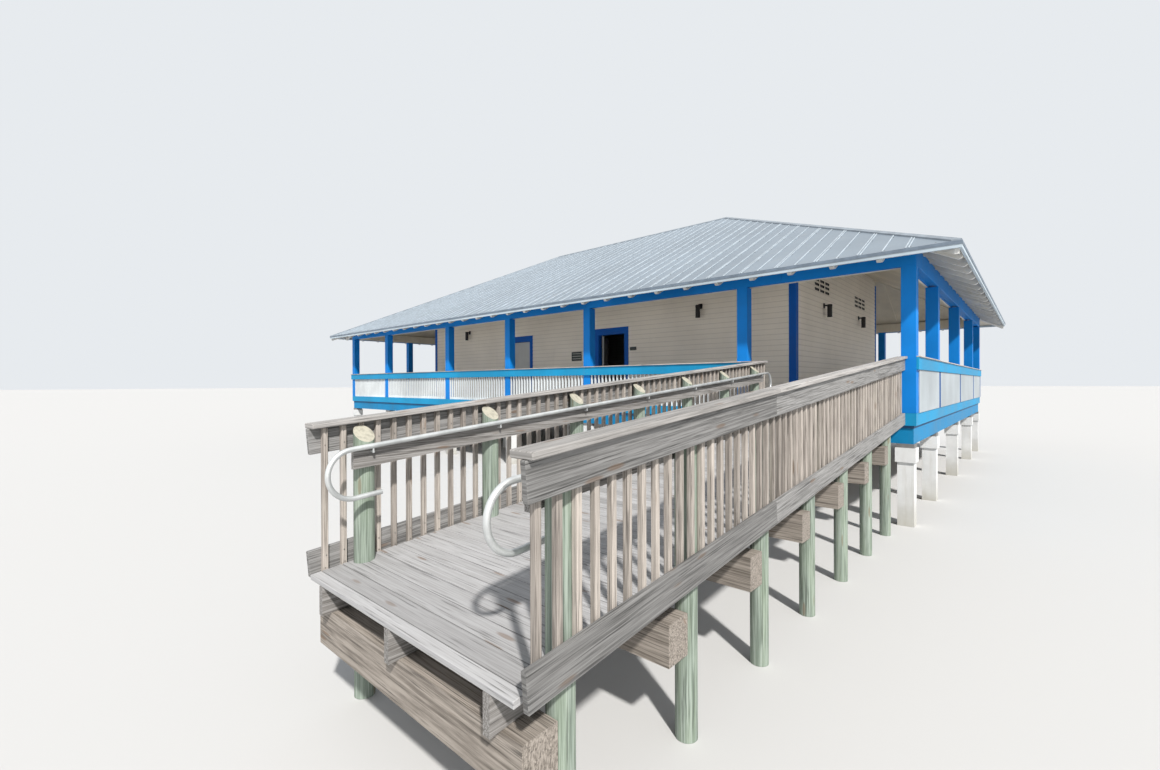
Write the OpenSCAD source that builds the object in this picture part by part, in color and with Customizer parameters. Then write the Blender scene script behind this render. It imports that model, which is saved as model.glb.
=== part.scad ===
// Raised single-storey beach building on square piles, with a porch on
// all sides under one hip roof, and a wooden ramp up to its porch.
// The origin is on the ground below the middle of the building.
// The front faces -Y and the ramp comes up at its right-hand end.

/* [Plan] */
// Porch bay from the middle post outwards, front and back
mid_bay = 3073; // [2520:1:3530]
// Second porch bay, front and back
long_bay = 4097; // [3360:1:4700]
// End porch bay, front and back
end_bay = 2817; // [2520:1:3360]
// Inner porch bay of the two sides
side_bay = 3654; // [3020:1:4200]
// End porch bay of the two sides
side_end_bay = 2491; // [2180:1:2860]
// Width of the square porch posts
post_w = 213; // [170:1:250]
// Depth of the porch at the front and back, post face to wall
porch_d = 2335; // [2015:5:2685]
// Depth of the porch at the sides, post face to wall
porch_s = 2688; // [2430:1:3025]

/* [Floor and piles] */
// Height of the porch floor above the ground
floor_h = 1700; // [1400:10:2600]
// Width of the square piles
pile_w = 235; // [170:1:280]
// Width of the cap block on a pile
cap_w = 290; // [282:1:380]
// Height of the cap block on a pile
cap_h = 235; // [170:1:270]
// Height of the grey saddle block on a pile cap
saddle_h = 67; // [42:1:100]
// Width of the saddle block
saddle_w = 250; // [200:1:280]
// Depth of the girders
girder_h = 254; // [200:1:290]
// Thickness of the girders
girder_t = 126; // [84:1:160]
// Depth of the joists, hung between the girders
joist_h = 235; // [200:1:260]
// Thickness of the joists
joist_t = 38; // [32:1:50]
// Greatest spacing of the floor joists
joist_gap = 690; // [336:1:756]
// Thickness of the deck boards
deck_t = 38; // [25:1:45]
// Height of the pale strip between the outer girders and the deck
strip_h = 62; // [50:1:90]
// Height of the blue rim board above the floor
rim_up = 148; // [100:1:170]
// Depth of the blue rim board below the floor
rim_low = 54; // [50:1:80]
// Distance of the outer piles inwards from the line of the posts
pile_in = 50; // [0:1:60]
// Thickness of the trim boards
board_t = 38; // [25:1:45]

/* [Roof] */
// Height of the beam's underside above the floor
beam_z = 2541; // [2350:1:2600]
// Height of the porch beams
beam_h = 302; // [260:1:319]
// Rise of the roof over its run
pitch = 0.505; // [0.45:0.001:0.58]
// Overhang of the roof edge beyond the post faces
eave_out = 649; // [560:1:750]
// Height of the roof edge above the floor
edge_z = 2680; // [2640:1:2730]
// Thickness of the roof deck, measured upright
roof_t = 42; // [34:1:58]
// Depth of the rafters, measured upright
rafter_d = 160; // [126:1:200]
// Thickness of the rafters
rafter_t = 76; // [50:1:92]
// Spacing of the rafters
rafter_gap = 692; // [504:1:756]
// Radius of the rounded rafter tail
tail_r = 66; // [50:1:69]
// Depth of the rafter's tail outside the beam, measured upright
tail_d = 157; // [150:1:190]
// Height of the white fascia board
fascia_h = 52; // [42:1:84]
// Height of the metal drip edge
drip_h = 50; // [34:1:67]
// Thickness of the porch ceiling
ceil_t = 13; // [9:1:21]
// Half width of the ridge and hip caps
cap_half = 126; // [84:1:168]
// Thickness of the ridge and hip caps
cap_t = 25; // [13:1:34]

/* [Walls and doors] */
// Thickness of the walls
wall_t = 130; // [105:1:168]
// Distance from the middle to the doorway's near side
door_x = 1516; // [1260:1:1850]
// Width of the rough doorway
door_w = 1042; // [850:1:1150]
// Height of the rough doorway
door_h = 2146; // [1900:1:2300]
// Thickness of the jamb lining
jamb_t = 30; // [22:1:38]
// Width of the door casing
casing_w = 147; // [90:1:155]
// Thickness of casings and corner boards
trim_t = 22; // [16:1:26]
// Width of the corner boards
corner_w = 139; // [110:1:200]
// Thickness of the door leaf
leaf_t = 45; // [38:1:55]
// Clearance round the door leaf
leaf_gap = 8; // [6:0.5:12]
// Angle at which the leaf stands open in the rest pose
leaf_open = 120; // [60:1:135]

/* [Railing] */
// Height of the porch rail
rail_h = 1075; // [900:1:1150]
// Height of the blue top board
rail_board_h = 202; // [150:1:235]
// Thickness of the cap on the blue board
rail_cap_t = 18; // [13:1:25]
// Width of the cap on the blue board
rail_cap_w = 62; // [50:1:100]
// Side of the square white pickets
picket_w = 36; // [30:1:38]
// Spacing of the white pickets
picket_gap = 113; // [95:1:135]
// Thickness of the white side panels
panel_t = 17; // [12:1:22]

/* [Ramp] */
// Length of the ramp
ramp_run = 8282; // [6720:1:9240]
// Fall of the ramp from the porch to its low end
ramp_fall = 714; // [588:1:756]
// Distance from the building's right face to the right pickets
ramp_in = 210; // [202:1:252]
// Distance between the two rows of ramp pickets
ramp_w = 2251; // [2016:1:2310]
// Diameter of the round ramp posts
ramp_post_d = 150; // [126:1:176]
// Spacing of the round ramp posts
ramp_post_gap = 1201; // [1092:1:1260]
// Depth of the beams across below the ramp
cross_h = 270; // [180:1:300]
// Distance of the first ramp post from the porch
ramp_post_y = 714; // [672:1:840]
// Height of the ramp rail above its deck
ramp_rail_h = 1075; // [900:1:1120]
// Side of the square ramp pickets
ramp_picket = 38; // [28:1:42]
// Spacing of the ramp pickets
ramp_picket_gap = 135; // [100:1:160]
// Height of the ramp's side boards
ramp_board_h = 190; // [150:1:215]
// Thickness of the flat cap on the ramp rail
ramp_cap_t = 38; // [25:1:45]
// Width of the flat cap on the ramp rail
ramp_cap_w = 150; // [125:1:184]
// Height of the pipe handrail above the ramp deck
pipe_z = 875; // [850:1:900]
// Diameter of the pipe handrail
pipe_d = 38; // [30:1:42]
// Radius of the pipe's return bends
pipe_bend = 176; // [130:1:200]

/* [Hidden] */
// Half width and half depth over the post faces
hw = mid_bay + long_bay + end_bay + post_w/2;
hd = side_bay + side_end_bay + post_w/2;
// Half width and half depth of the room, and of the roof edge
bx = hw - porch_s;
by = hd - porch_d;
ex = hw + eave_out;
ey = hd + eave_out;
post_x = [0, mid_bay, mid_bay + long_bay, hw - post_w/2];
all_x = concat([for (i = [3:-1:1]) -post_x[i]], post_x);
side_y = [-side_bay, 0, side_bay];
row_y = hd - post_w/2;
beam_top = floor_h + beam_z + beam_h;
deck_z = floor_h - deck_t;
girder_top = deck_z - strip_h;
pile_top = girder_top - girder_h - saddle_h;
edge_top = floor_h + edge_z;
slope_a = atan(pitch);
// Underside of the rafters and of the ceiling at a distance from the edge
function under(d) = edge_top + d*pitch - roof_t - rafter_d;
function ceil_under(d) = under(d) - ceil_t;
// Underside of the rafter tails
function low(d) = edge_top + d*pitch - roof_t - tail_d;
// Length of each eave next to a corner that has the hip rafter alone
corner_free = 520;
wall_top = under(porch_d + eave_out);
side_top = under(porch_s + eave_out);
jamb_x = door_x + jamb_t;
leaf_w = door_w - 2*jamb_t - 2*leaf_gap;
leaf_h = door_h - jamb_t - 2*leaf_gap;
hinge_r = 6;
hinge_h = 100;
hinge_z = [210, leaf_h/2 - 20, leaf_h - 300];
axis_x = jamb_x + leaf_gap/2;
axis_y = -by + wall_t + 2*hinge_r;
white = [0.9, 0.9, 0.88];
cream = [0.86, 0.83, 0.76];
blue = [0.1, 0.42, 0.8];
metal = [0.78, 0.8, 0.82];
weathered = [0.55, 0.5, 0.45];
treated = [0.55, 0.6, 0.48];
dark = [0.1, 0.1, 0.11];
ramp_r = hw - ramp_in;
ramp_l = ramp_r - ramp_w;
ramp_a = atan(ramp_fall/ramp_run);
function ramp_z(y) = floor_h + (y + hd)*ramp_fall/ramp_run;
post_n = floor((ramp_run - ramp_post_y)/ramp_post_gap);
ramp_ys = [for (i = [0:post_n]) -hd - ramp_post_y - i*ramp_post_gap];
ramp_post_x = ramp_post_d/2 + ramp_picket/2;
rail_end = ramp_l - ramp_picket/2 - board_t - 50;

// Turns a shape drawn for the front to side k: front, right, back, left
module turn(k) { rotate([0, 0, 90*k]) children(); }
function run_of(k) = k % 2 == 0 ? ey : ex;
function len_of(k) = k % 2 == 0 ? ex : ey;

// Draws a profile in the Y-Z plane, extruded along X about the middle
module along_x(len) {
  translate([-len/2, 0, 0]) rotate([90, 0, 90]) linear_extrude(len) children();
}

// Profile of a layer that follows the roof slope of side k
module slope(k, top, bottom, d0, d1) {
  e = run_of(k);
  polygon([
    [-e + d0, edge_top + d0*pitch + bottom], [-e + d1, edge_top + d1*pitch + bottom],
    [-e + d1, edge_top + d1*pitch + top], [-e + d0, edge_top + d0*pitch + top]
  ]);
}

// Plan of side k between two distances from the edge, cut at the hips
module plan(k, g, d0, d1) {
  e = run_of(k);
  l = len_of(k) - g;
  linear_extrude(3*floor_h + 2*edge_z)
    if (l - d1 > 1)
      polygon([[-l + d0, -e + d0], [l - d0, -e + d0], [l - d1, -e + d1], [-l + d1, -e + d1]]);
    else
      polygon([[-l + d0, -e + d0], [l - d0, -e + d0], [0, -e + l]]);
}

module layer(k, top, bottom, g, d0, d1) {
  intersection() {
    along_x(2*len_of(k)) slope(k, top, bottom, d0, d1);
    plan(k, g, d0, d1);
  }
}

// Plan of the strip along both hips of side k, and along the ridge of a long side
module strip_plan(k, half, ridge_half, d0) {
  e = run_of(k);
  l = len_of(k);
  a = l - ey + ridge_half - half;
  if (k % 2 == 0)
    polygon([
      [-l + d0, -e + d0], [-l + ey, -e + ey], [l - ey, -e + ey], [l - d0, -e + d0],
      [l - d0 - half, -e + d0], [a, -e + ey - ridge_half],
      [-a, -e + ey - ridge_half], [-l + d0 + half, -e + d0]
    ]);
  else
    polygon([
      [-l + d0, -e + d0], [0, -e + ey], [l - d0, -e + d0],
      [l - d0 - half, -e + d0], [0, -e + ey - half], [-l + d0 + half, -e + d0]
    ]);
}

// Strips along all four hips and along the ridge, mitred where the sides meet.
// The sloped slabs run past the strips by whole millimetres on every side.
slab_over = 50;
module hips_and_ridge(top, bottom, half, ridge_half, d0) {
  for (k = [0:3]) turn(k) intersection() {
    along_x(2*len_of(k) + 2*slab_over) slope(k, top, bottom, d0 - slab_over, ey + slab_over);
    linear_extrude(3*floor_h + 2*edge_z) strip_plan(k, half, ridge_half, d0);
  }
}

// Upright box given by its lowest corner and its highest corner
module span(a, b) { translate(a) cube(b - a); }

// Places its children at the twenty outer piles, set in from the posts
module at_piles() {
  for (x = all_x, s = [-1, 1])
    translate([x - pile_in*(x > post_x[2] ? 1 : x < -post_x[2] ? -1 : 0), s*(row_y - pile_in), 0])
      children();
  for (s = [-1, 1], y = side_y) translate([s*(hw - post_w/2 - pile_in), y, 0]) children();
}

// Places its children at each of the twenty edge posts
module at_edges() {
  for (x = all_x, s = [-1, 1]) translate([x, s*row_y, 0]) children();
  for (s = [-1, 1], y = side_y) translate([s*(hw - post_w/2), y, 0]) children();
}

module at_inner() {
  for (i = [1:5], y = side_y) translate([all_x[i], y, 0]) children();
}

module block(w, z0, z1) { translate([-w/2, -w/2, z0]) cube([w, w, z1 - z0]); }

module one_pile() {
  block(pile_w, 0, pile_top - cap_h + 1);
  block(cap_w, pile_top - cap_h, pile_top);
}

module piles() { color(white) { at_piles() one_pile(); at_inner() one_pile(); } }

module saddle_blocks() {
  color("gray") {
    at_piles() block(saddle_w, pile_top, pile_top + saddle_h);
    at_inner() block(saddle_w, pile_top, pile_top + saddle_h);
  }
}

module outer_girders() {
  z = girder_top - girder_h;
  color(blue) for (s = [-1, 1]) {
    translate([0, s*row_y, z]) along_x(2*hw - post_w + girder_t)
      translate([-girder_t/2, 0]) square([girder_t, girder_h]);
    translate([s*(hw - post_w/2) - girder_t/2, -row_y + girder_t/2 + 1, z])
      cube([girder_t, 2*row_y - girder_t - 2, girder_h]);
  }
}

module inner_girders() {
  g = hw - post_w/2 - girder_t/2;
  color(cream) for (y = side_y)
    span([-g, y - girder_t/2, girder_top - girder_h], [g, y + girder_t/2, deck_z]);
}

// Pale strips on the outer girders, just behind the rim boards
module joist_bands() {
  x = hw - board_t;
  y = hd - board_t;
  color(cream) for (s = [-1, 1]) {
    translate([-x, s > 0 ? y - joist_t : -y, girder_top]) cube([2*x, joist_t, strip_h]);
    translate([s > 0 ? x - joist_t : -x, -y + joist_t + 1, girder_top])
      cube([joist_t, 2*(y - joist_t - 1), strip_h]);
  }
}

// Distance of the last joist from the face of the building
joist_end = 532;
module floor_joists() {
  x = hw - joist_end;
  n = ceil(2*x/joist_gap);
  rows = [-row_y, -side_bay, 0, side_bay, row_y];
  color(cream) for (i = [0:n], j = [0:3])
    span([i*2*x/n - x - joist_t/2, rows[j] + girder_t/2, deck_z - joist_h],
         [i*2*x/n - x + joist_t/2, rows[j + 1] - girder_t/2, deck_z]);
}

// Rim boards stand above the floor, but not where the ramp comes in
rim_z0 = floor_h - rim_low;
rim_z1 = floor_h + rim_up;
module rim_boards() {
  color(blue) {
    difference() {
      span([-hw, -hd, rim_z0], [hw, -hd + board_t, rim_z1]);
      span([rail_end, -hd - 1, floor_h], [hw - post_w, -hd + board_t + 1, rim_z1 + 1]);
    }
    span([-hw, hd - board_t, rim_z0], [hw, hd, rim_z1]);
    for (s = [0, 1]) mirror([s, 0, 0])
      span([hw - board_t, -hd + board_t + 1, rim_z0], [hw, hd - board_t - 1, rim_z1]);
  }
}

module floor_deck() {
  color(weathered) span([-hw + board_t, -hd + board_t, floor_h - deck_t],
                        [hw - board_t, hd - board_t, floor_h]);
}

// Posts, their feet notched round the rim boards
module porch_posts() {
  color(blue) difference() {
    at_edges() block(post_w, floor_h, floor_h + beam_z);
    difference() {
      span([-hw - 1, -hd - 1, floor_h - 1], [hw + 1, hd + 1, rim_z1]);
      span([-hw + board_t, -hd + board_t, floor_h - 2], [hw - board_t, hd - board_t, rim_z1 + 1]);
    }
  }
}

module porch_beams() {
  z = floor_h + beam_z;
  color(blue) for (s = [-1, 1]) {
    translate([-hw, s > 0 ? hd - post_w : -hd, z]) cube([2*hw, post_w, beam_h]);
    translate([s > 0 ? hw - post_w : -hw, -hd + post_w + 1, z])
      cube([post_w, 2*(hd - post_w - 1), beam_h]);
  }
}

module front_wall_right() {
  color(white) span([door_x + door_w, -by, floor_h], [bx, -by + wall_t, wall_top]);
}

module front_wall_middle() {
  color(white) span([-door_x, -by, floor_h], [door_x, -by + wall_t, wall_top]);
}

module front_wall_left() {
  color(white) span([-bx, -by, floor_h], [-door_x - door_w, -by + wall_t, wall_top]);
}

module door_heads() {
  color(white) for (s = [0, 1])
    span([s ? door_x : -door_x - door_w, -by, floor_h + door_h],
         [s ? door_x + door_w : -door_x, -by + wall_t, wall_top]);
}

module back_wall() {
  color(white) span([-bx, by - wall_t, floor_h], [bx, by, wall_top]);
}

// How far forward of the middle the vents and lamps of the side walls sit
side_shift = 110;
// Slots of the vent groups, drawn in Y and Z
vent_w = 328;
vent_h = 67;
vent_x = 420;
vent_z = [3003, 3129, 3247];
vent_in = 2035;
vent_y = by - vent_in;
vent_d = 25;
module vent_slots(x0, x1, c) {
  for (s = [-1, 1], j = [-1:1], z = vent_z)
    span([x0, s*vent_y - side_shift + j*vent_x - vent_w/2 + c, floor_h + z - vent_h/2 + c],
         [x1, s*vent_y - side_shift + j*vent_x + vent_w/2 - c, floor_h + z + vent_h/2 - c]);
}

// Side wall on the right; its top follows the roof at both ends
module side_wall() {
  y = by - wall_t;
  color(white) difference() {
    translate([bx - wall_t/2, 0, 0]) along_x(wall_t) intersection() {
      translate([-y, floor_h]) square([2*y, side_top - floor_h]);
      polygon([
        [-by, 0], [by, 0], [by, wall_top - 0.5], [0, wall_top + by*pitch - 0.5],
        [-by, wall_top - 0.5]
      ]);
    }
    vent_slots(bx - vent_d, bx + 1, 0);
  }
}

module right_wall() { side_wall(); }

module left_wall() { mirror([1, 0, 0]) side_wall(); }

module corner_boards() {
  z = ceil_under(porch_d + eave_out - trim_t) - 2;
  color(blue) for (s = [-1, 1], t = [-1, 1]) scale([s, t, 1]) {
    span([bx - corner_w, by, floor_h], [bx + trim_t, by + trim_t, z]);
    span([bx, by - corner_w, floor_h], [bx + trim_t, by + trim_t, z]);
  }
}

// Casing and jamb lining of the right-hand doorway
module door_casing() {
  x0 = door_x;
  x1 = door_x + door_w;
  o = casing_w - jamb_t;
  z = floor_h + door_h;
  span([x0 - o, -by - trim_t, floor_h], [x0 + jamb_t, -by, z + o + 50]);
  span([x1 - jamb_t, -by - trim_t, floor_h], [x1 + o, -by, z + o + 50]);
  span([x0 - o, -by - trim_t, z - jamb_t], [x1 + o, -by, z + o + 50]);
  span([x0, -by - 1, floor_h], [x0 + jamb_t, -by + wall_t, z]);
  span([x1 - jamb_t, -by - 1, floor_h], [x1, -by + wall_t, z]);
  span([x0, -by - 1, z - jamb_t], [x1, -by + wall_t, z]);
}

module door_casings() {
  color(blue) { door_casing(); mirror([1, 0, 0]) door_casing(); }
}

// Door leaf about its hinge axis, shut along +X
module leaf() {
  g = leaf_gap/2;
  t = 2*hinge_r;
  difference() {
    union() {
      span([g, -t - leaf_t, 0], [g + leaf_w, -t, leaf_h]);
      for (z = hinge_z) {
        translate([0, 0, z]) cylinder(r = hinge_r, h = hinge_h, $fn = 48);
        span([0, -t - 1, z], [60, -hinge_r + 1, z + hinge_h]);
      }
      translate([leaf_w - 70, -t - leaf_t - 55, 1000 - leaf_gap]) rotate([-90, 0, 0])
        cylinder(d = 24, h = leaf_t + 110, $fn = 32);
      for (y = [-t - leaf_t - 60, -t + 40])
        translate([leaf_w - 70, y, 1000 - leaf_gap]) rotate([-90, 0, 0])
          cylinder(d = 56, h = 20, $fn = 48);
    }
    for (z = hinge_z) translate([0, 0, z - 1])
      cylinder(r = 3.4, h = hinge_h + 2, $fn = 48);
  }
}

module door_leaf() {
  color(metal) translate([axis_x, axis_y, floor_h + leaf_gap]) rotate([0, 0, leaf_open]) leaf();
}

// Fixed half of the hinges: plate on the wall, two knuckles and the pin
module hinge_set() {
  t = 2*hinge_r;
  k = 30;
  for (z = hinge_z) translate([axis_x, axis_y, floor_h + leaf_gap + z]) {
    cylinder(r = 3, h = hinge_h, $fn = 48);
    for (u = [-5 - k, hinge_h + 5]) {
      translate([0, 0, u]) cylinder(r = hinge_r, h = k, $fn = 48);
      span([-20, -t, u], [-1, 0, u + k]);
    }
    translate([0, 0, -6]) cylinder(r = 3, h = hinge_h + 12, $fn = 48);
    span([-72, -t, -5 - k], [-14, -t + 4, hinge_h + 5 + k]);
  }
}

module door_hinges() {
  color("gray") { hinge_set(); mirror([1, 0, 0]) hinge_set(); }
}

module closed_leaf() {
  color(metal) mirror([1, 0, 0]) translate([axis_x, axis_y, floor_h + leaf_gap]) leaf();
}

module vent_plates() {
  color(dark) for (s = [0, 1]) mirror([s, 0, 0]) vent_slots(bx - vent_d, bx - 8, 0);
}

// Hanging lamp on a wall that faces -Y, at the origin on the floor
lamp_out = 155;
lamp_d = 126;
lamp_h = 328;
lamp_z = 2348;
arm_t = 42;
plate_w = 118;
plate_h = 134;
plate_t = 21;
module lamp() {
  z = lamp_z + lamp_h;
  translate([0, -lamp_out, lamp_z]) cylinder(d = lamp_d, h = lamp_h, $fn = 48);
  span([-arm_t/2, -lamp_out, z - arm_t - 5], [arm_t/2, -plate_t/2, z - 5]);
  span([-plate_w/2, -plate_t, z - plate_h + arm_t], [plate_w/2, 0, z + arm_t]);
}

// Places of the lamps along the front and back walls, and along the sides
lamp_in = 2407;
lamp_side_in = 2186;
lamp_x = bx - lamp_in;
lamp_y = by - lamp_side_in;
module wall_lamps() {
  color(dark) {
    for (x = [-lamp_x, lamp_x]) translate([x, -by, floor_h]) lamp();
    for (x = [-lamp_x, lamp_x]) translate([x, by, floor_h]) rotate([0, 0, 180]) lamp();
    for (s = [-1, 1], y = [-lamp_y, lamp_y])
      translate([s*bx, y - side_shift, floor_h]) rotate([0, 0, s*90]) lamp();
  }
}

// Notice board between the doors and small plate beside the open one
notice = [420, 17, 286];
notice_in = 664;
notice_z = 1369;
label = [227, 30, 100];
label_out = 172;
label_z = 1608;
module wall_plates() {
  color(dark) {
    translate([door_x - notice_in - notice[0], -by - notice[1], floor_h + notice_z]) cube(notice);
    translate([door_x + door_w + label_out, -by - label[1], floor_h + label_z]) cube(label);
  }
}

// Distance from the edge at which the ceiling rests on the beam
ceil_d = (beam_top - edge_top + roof_t + rafter_d + ceil_t)/pitch + 2;
module porch_ceiling() {
  color(cream) for (k = [0:3]) turn(k) {
    x = k % 2 == 0 ? bx : by;
    y = k % 2 == 0 ? by : bx;
    difference() {
      layer(k, -roof_t - rafter_d - 0.5, -roof_t - rafter_d - ceil_t, 2, ceil_d, porch_s + eave_out);
      span([-x, -y, 0], [x, 0, 3*edge_top]);
    }
  }
}

// Rafter profile of side k: a bar from the beam to the ridge, and a deeper
// tail outside the beam, its lower front corner rounded
module rafter_profile(k) {
  e = run_of(k);
  d = board_t + tail_r;
  c = low(d) + tail_r/cos(slope_a);
  t = tail_r*sin(slope_a);
  difference() {
    slope(k, -roof_t - 0.5, -roof_t - rafter_d, eave_out - 5, ey - rafter_t/2 - 1);
    translate([-e + eave_out, 0]) square([post_w, beam_top]);
  }
  translate([-e + d, c]) circle(r = tail_r, $fn = 48);
  polygon([
    [-e + d, c], [-e + d + t, low(d + t)], [-e + eave_out, low(eave_out)],
    [-e + eave_out, edge_top + eave_out*pitch - roof_t - 0.5],
    [-e + board_t, edge_top + board_t*pitch - roof_t - 0.5], [-e + board_t, c]
  ]);
}

module rafters() {
  color(cream) for (k = [0:3]) turn(k) intersection() {
    n = floor((len_of(k) - corner_free)/rafter_gap);
    for (i = [-n:n])
      translate([i*rafter_gap, 0, 0]) along_x(rafter_t) rafter_profile(k);
    plan(k, rafter_t, 0, ey);
  }
}

module hip_rafters() {
  color(cream) difference() {
    hips_and_ridge(-roof_t - 0.5, -roof_t - rafter_d, rafter_t/sqrt(2), rafter_t/2, board_t);
    for (s = [-1, 1], t = [-1, 1]) scale([s, t, 1])
      span([hw - post_w, hd - post_w, 0], [hw, hd, beam_top]);
  }
}

module roof_front() { color(metal) layer(0, 0, -roof_t, 1, 0, ey); }

module roof_back() { color(metal) turn(2) layer(2, 0, -roof_t, 1, 0, ey); }

module roof_left() { color(metal) turn(3) layer(3, 0, -roof_t, 1, 0, ey); }

module roof_right() { color(metal) turn(1) layer(1, 0, -roof_t, 1, 0, ey); }

module roof_caps() { color(metal) hips_and_ridge(cap_t, 0.5, cap_half, cap_half, 0); }

module fascia() {
  z0 = edge_top - drip_h - fascia_h;
  z1 = edge_top - roof_t;
  color(white) for (s = [-1, 1]) {
    translate([-ex, s > 0 ? ey - board_t : -ey, z0]) cube([2*ex, board_t, z1 - z0]);
    translate([s > 0 ? ex - board_t : -ex, -ey + board_t + 1, z0])
      cube([board_t, 2*(ey - board_t - 1), z1 - z0]);
  }
}

module drip_edge() {
  z0 = edge_top - drip_h;
  t = 8;
  color(metal) for (s = [-1, 1]) {
    translate([-ex - t, s > 0 ? ey : -ey - t, z0]) cube([2*(ex + t), t, drip_h]);
    translate([s > 0 ? ex : -ex - t, -ey + 1, z0]) cube([t, 2*(ey - 1), drip_h]);
  }
}

rail_z1 = floor_h + rail_h - rail_cap_t;
rail_z0 = rail_z1 - rail_board_h;
module rail_boards() {
  color(blue) {
    span([-hw - board_t, -hd - board_t, rail_z0], [rail_end, -hd, rail_z1]);
    span([-hw - board_t, hd, rail_z0], [hw + board_t, hd + board_t, rail_z1]);
    for (s = [0, 1]) mirror([s, 0, 0])
      span([hw, -hd + s, rail_z0], [hw + board_t, hd - 1, rail_z1]);
  }
}

module rail_caps() {
  o = rail_cap_w;
  z = floor_h + rail_h;
  color(cream) {
    span([-hw - o, -hd - o, rail_z1], [rail_end, -hd, z]);
    span([-hw - o, hd, rail_z1], [hw + o, hd + o, z]);
    for (s = [0, 1]) mirror([s, 0, 0]) span([hw, -hd + s, rail_z1], [hw + o, hd - 1, z]);
  }
}

// Picket screen from x0 to x1, its front on the line of the post faces
module pickets(x0, x1) {
  n = floor((x1 - x0)/picket_gap);
  step = (x1 - x0)/n;
  for (i = [0:n - 1])
    span([x0 + (i + 0.5)*step - picket_w/2, -hd, rim_z1],
         [x0 + (i + 0.5)*step + picket_w/2, -hd + picket_w, rail_z1]);
  for (z = [rim_z1, rail_z1 - 92])
    span([x0, -hd + picket_w - 1, z], [x1, -hd + picket_w + board_t, z + 76]);
}

module front_pickets() {
  color(white) {
    for (i = [0:4]) pickets(all_x[i] + post_w/2, all_x[i + 1] - post_w/2);
    pickets(all_x[5] + post_w/2, rail_end);
  }
}

module back_pickets() {
  color(white) rotate([0, 0, 180])
    for (i = [0:5]) pickets(all_x[i] + post_w/2, all_x[i + 1] - post_w/2);
}

// White panels over the side posts, jointed at the front of each post
module side_panels() {
  ys = [-hd + post_w, -side_bay - post_w/2, -post_w/2, side_bay - post_w/2, hd];
  color(white) for (s = [0, 1], i = [0:3]) mirror([s, 0, 0])
    span([hw, ys[i] + 4, rim_z1], [hw + panel_t, ys[i + 1] - 4, rail_z0]);
}

// Ramp pieces follow its slope: a profile in Y and Z above the deck line
module ramp_strip(y0, y1, a, b) {
  polygon([[y0, ramp_z(y0) + a], [y1, ramp_z(y1) + a], [y1, ramp_z(y1) + b], [y0, ramp_z(y0) + b]]);
}
ramp_y0 = -hd - ramp_run;
ramp_y1 = -hd;

module ramp_part(x0, x1, y0, y1, a, b) {
  translate([(x0 + x1)/2, 0, 0]) along_x(x1 - x0) ramp_strip(y0, y1, a, b);
}

// Round posts on both sides, and the holes for them with a clearance
module at_ramp_posts() {
  for (y = ramp_ys) {
    translate([ramp_l + ramp_post_x, y, 0]) children();
    translate([ramp_r - ramp_post_x, y, 0]) children();
  }
}

module ramp_deck() {
  color(weathered) difference() {
    ramp_part(ramp_l + ramp_picket/2 + 2, ramp_r - ramp_picket/2 - 2,
              ramp_y0, ramp_y1, -deck_t, 0);
    at_ramp_posts() cylinder(d = ramp_post_d + 6, h = 2*floor_h, $fn = 48);
  }
}

stringer_t = 50;
stringer_h = 197;
module ramp_stringers() {
  i = ramp_picket/2 + ramp_post_d + 17;
  color(weathered) for (x = [ramp_l + i, (ramp_l + ramp_r)/2 - stringer_t/2, ramp_r - i - stringer_t])
    ramp_part(x, x + stringer_t, ramp_y0, ramp_y1, -deck_t - stringer_h, -deck_t - 0.5);
}

// Level beams that carry the stringers, one in front of each pair of posts
beam_b = 225;
module ramp_cross_beams() {
  color(weathered) for (y = ramp_ys) {
    y0 = y - ramp_post_d/2 - beam_b;
    span([ramp_l + 40, y0, ramp_z(y0) - deck_t - stringer_h - cross_h],
         [ramp_r - 40, y0 + beam_b, ramp_z(y0) - deck_t - stringer_h]);
  }
}

// Round post of height h, its top cut on a slant that falls towards +X
module slant_post(h) {
  r = ramp_post_d/2;
  intersection() {
    cylinder(r = r, h = h, $fn = 64);
    rotate([90, 0, 0]) linear_extrude(2*ramp_post_d, center = true)
      polygon([[-r - 1, -1], [r + 1, -1], [r + 1, h - 1.6*r], [-r - 1, h]]);
  }
}

module ramp_posts() {
  color(treated) for (y = ramp_ys, s = [0, 1])
    translate([s ? ramp_r - ramp_post_x : ramp_l + ramp_post_x, y, 0]) mirror([s, 0, 0])
      slant_post(ramp_z(y) + ramp_rail_h - ramp_cap_t - 21);
}

// Railing with its pickets on X = 0 and its boards on their -X side
module ramp_railing() {
  p = ramp_picket/2;
  n = floor((ramp_run - 60 - ramp_picket)/ramp_picket_gap);
  top = ramp_rail_h - ramp_cap_t;
  foot = -40;
  y0 = ramp_y0;
  y1 = ramp_y1 - 2;
  ramp_part(-p - board_t - 35, -p - board_t - 35 + ramp_cap_w, y0, y1, top, ramp_rail_h);
  ramp_part(-p - board_t, -p + 2, y0, y1, top - ramp_board_h, top + 3);
  ramp_part(-p - board_t, -p + 2, y0, y1, foot, foot + ramp_board_h);
  for (i = [0:n]) {
    y = y1 - 50 - i*ramp_picket_gap;
    ramp_part(-p, p, y - ramp_picket, y, foot + 12, top + 8);
  }
}

module ramp_left_railing() { color(weathered) translate([ramp_l, 0, 0]) ramp_railing(); }

module ramp_right_railing() {
  color(weathered) translate([ramp_r, 0, 0]) mirror([1, 0, 0]) ramp_railing();
}

// Places its children at the inner faces of the left and right ramp posts
grab_x = ramp_picket/2 + ramp_post_d;
module at_grab() {
  translate([ramp_l + grab_x, 0, 0]) children();
  translate([ramp_r - grab_x, 0, 0]) mirror([1, 0, 0]) children();
}

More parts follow.
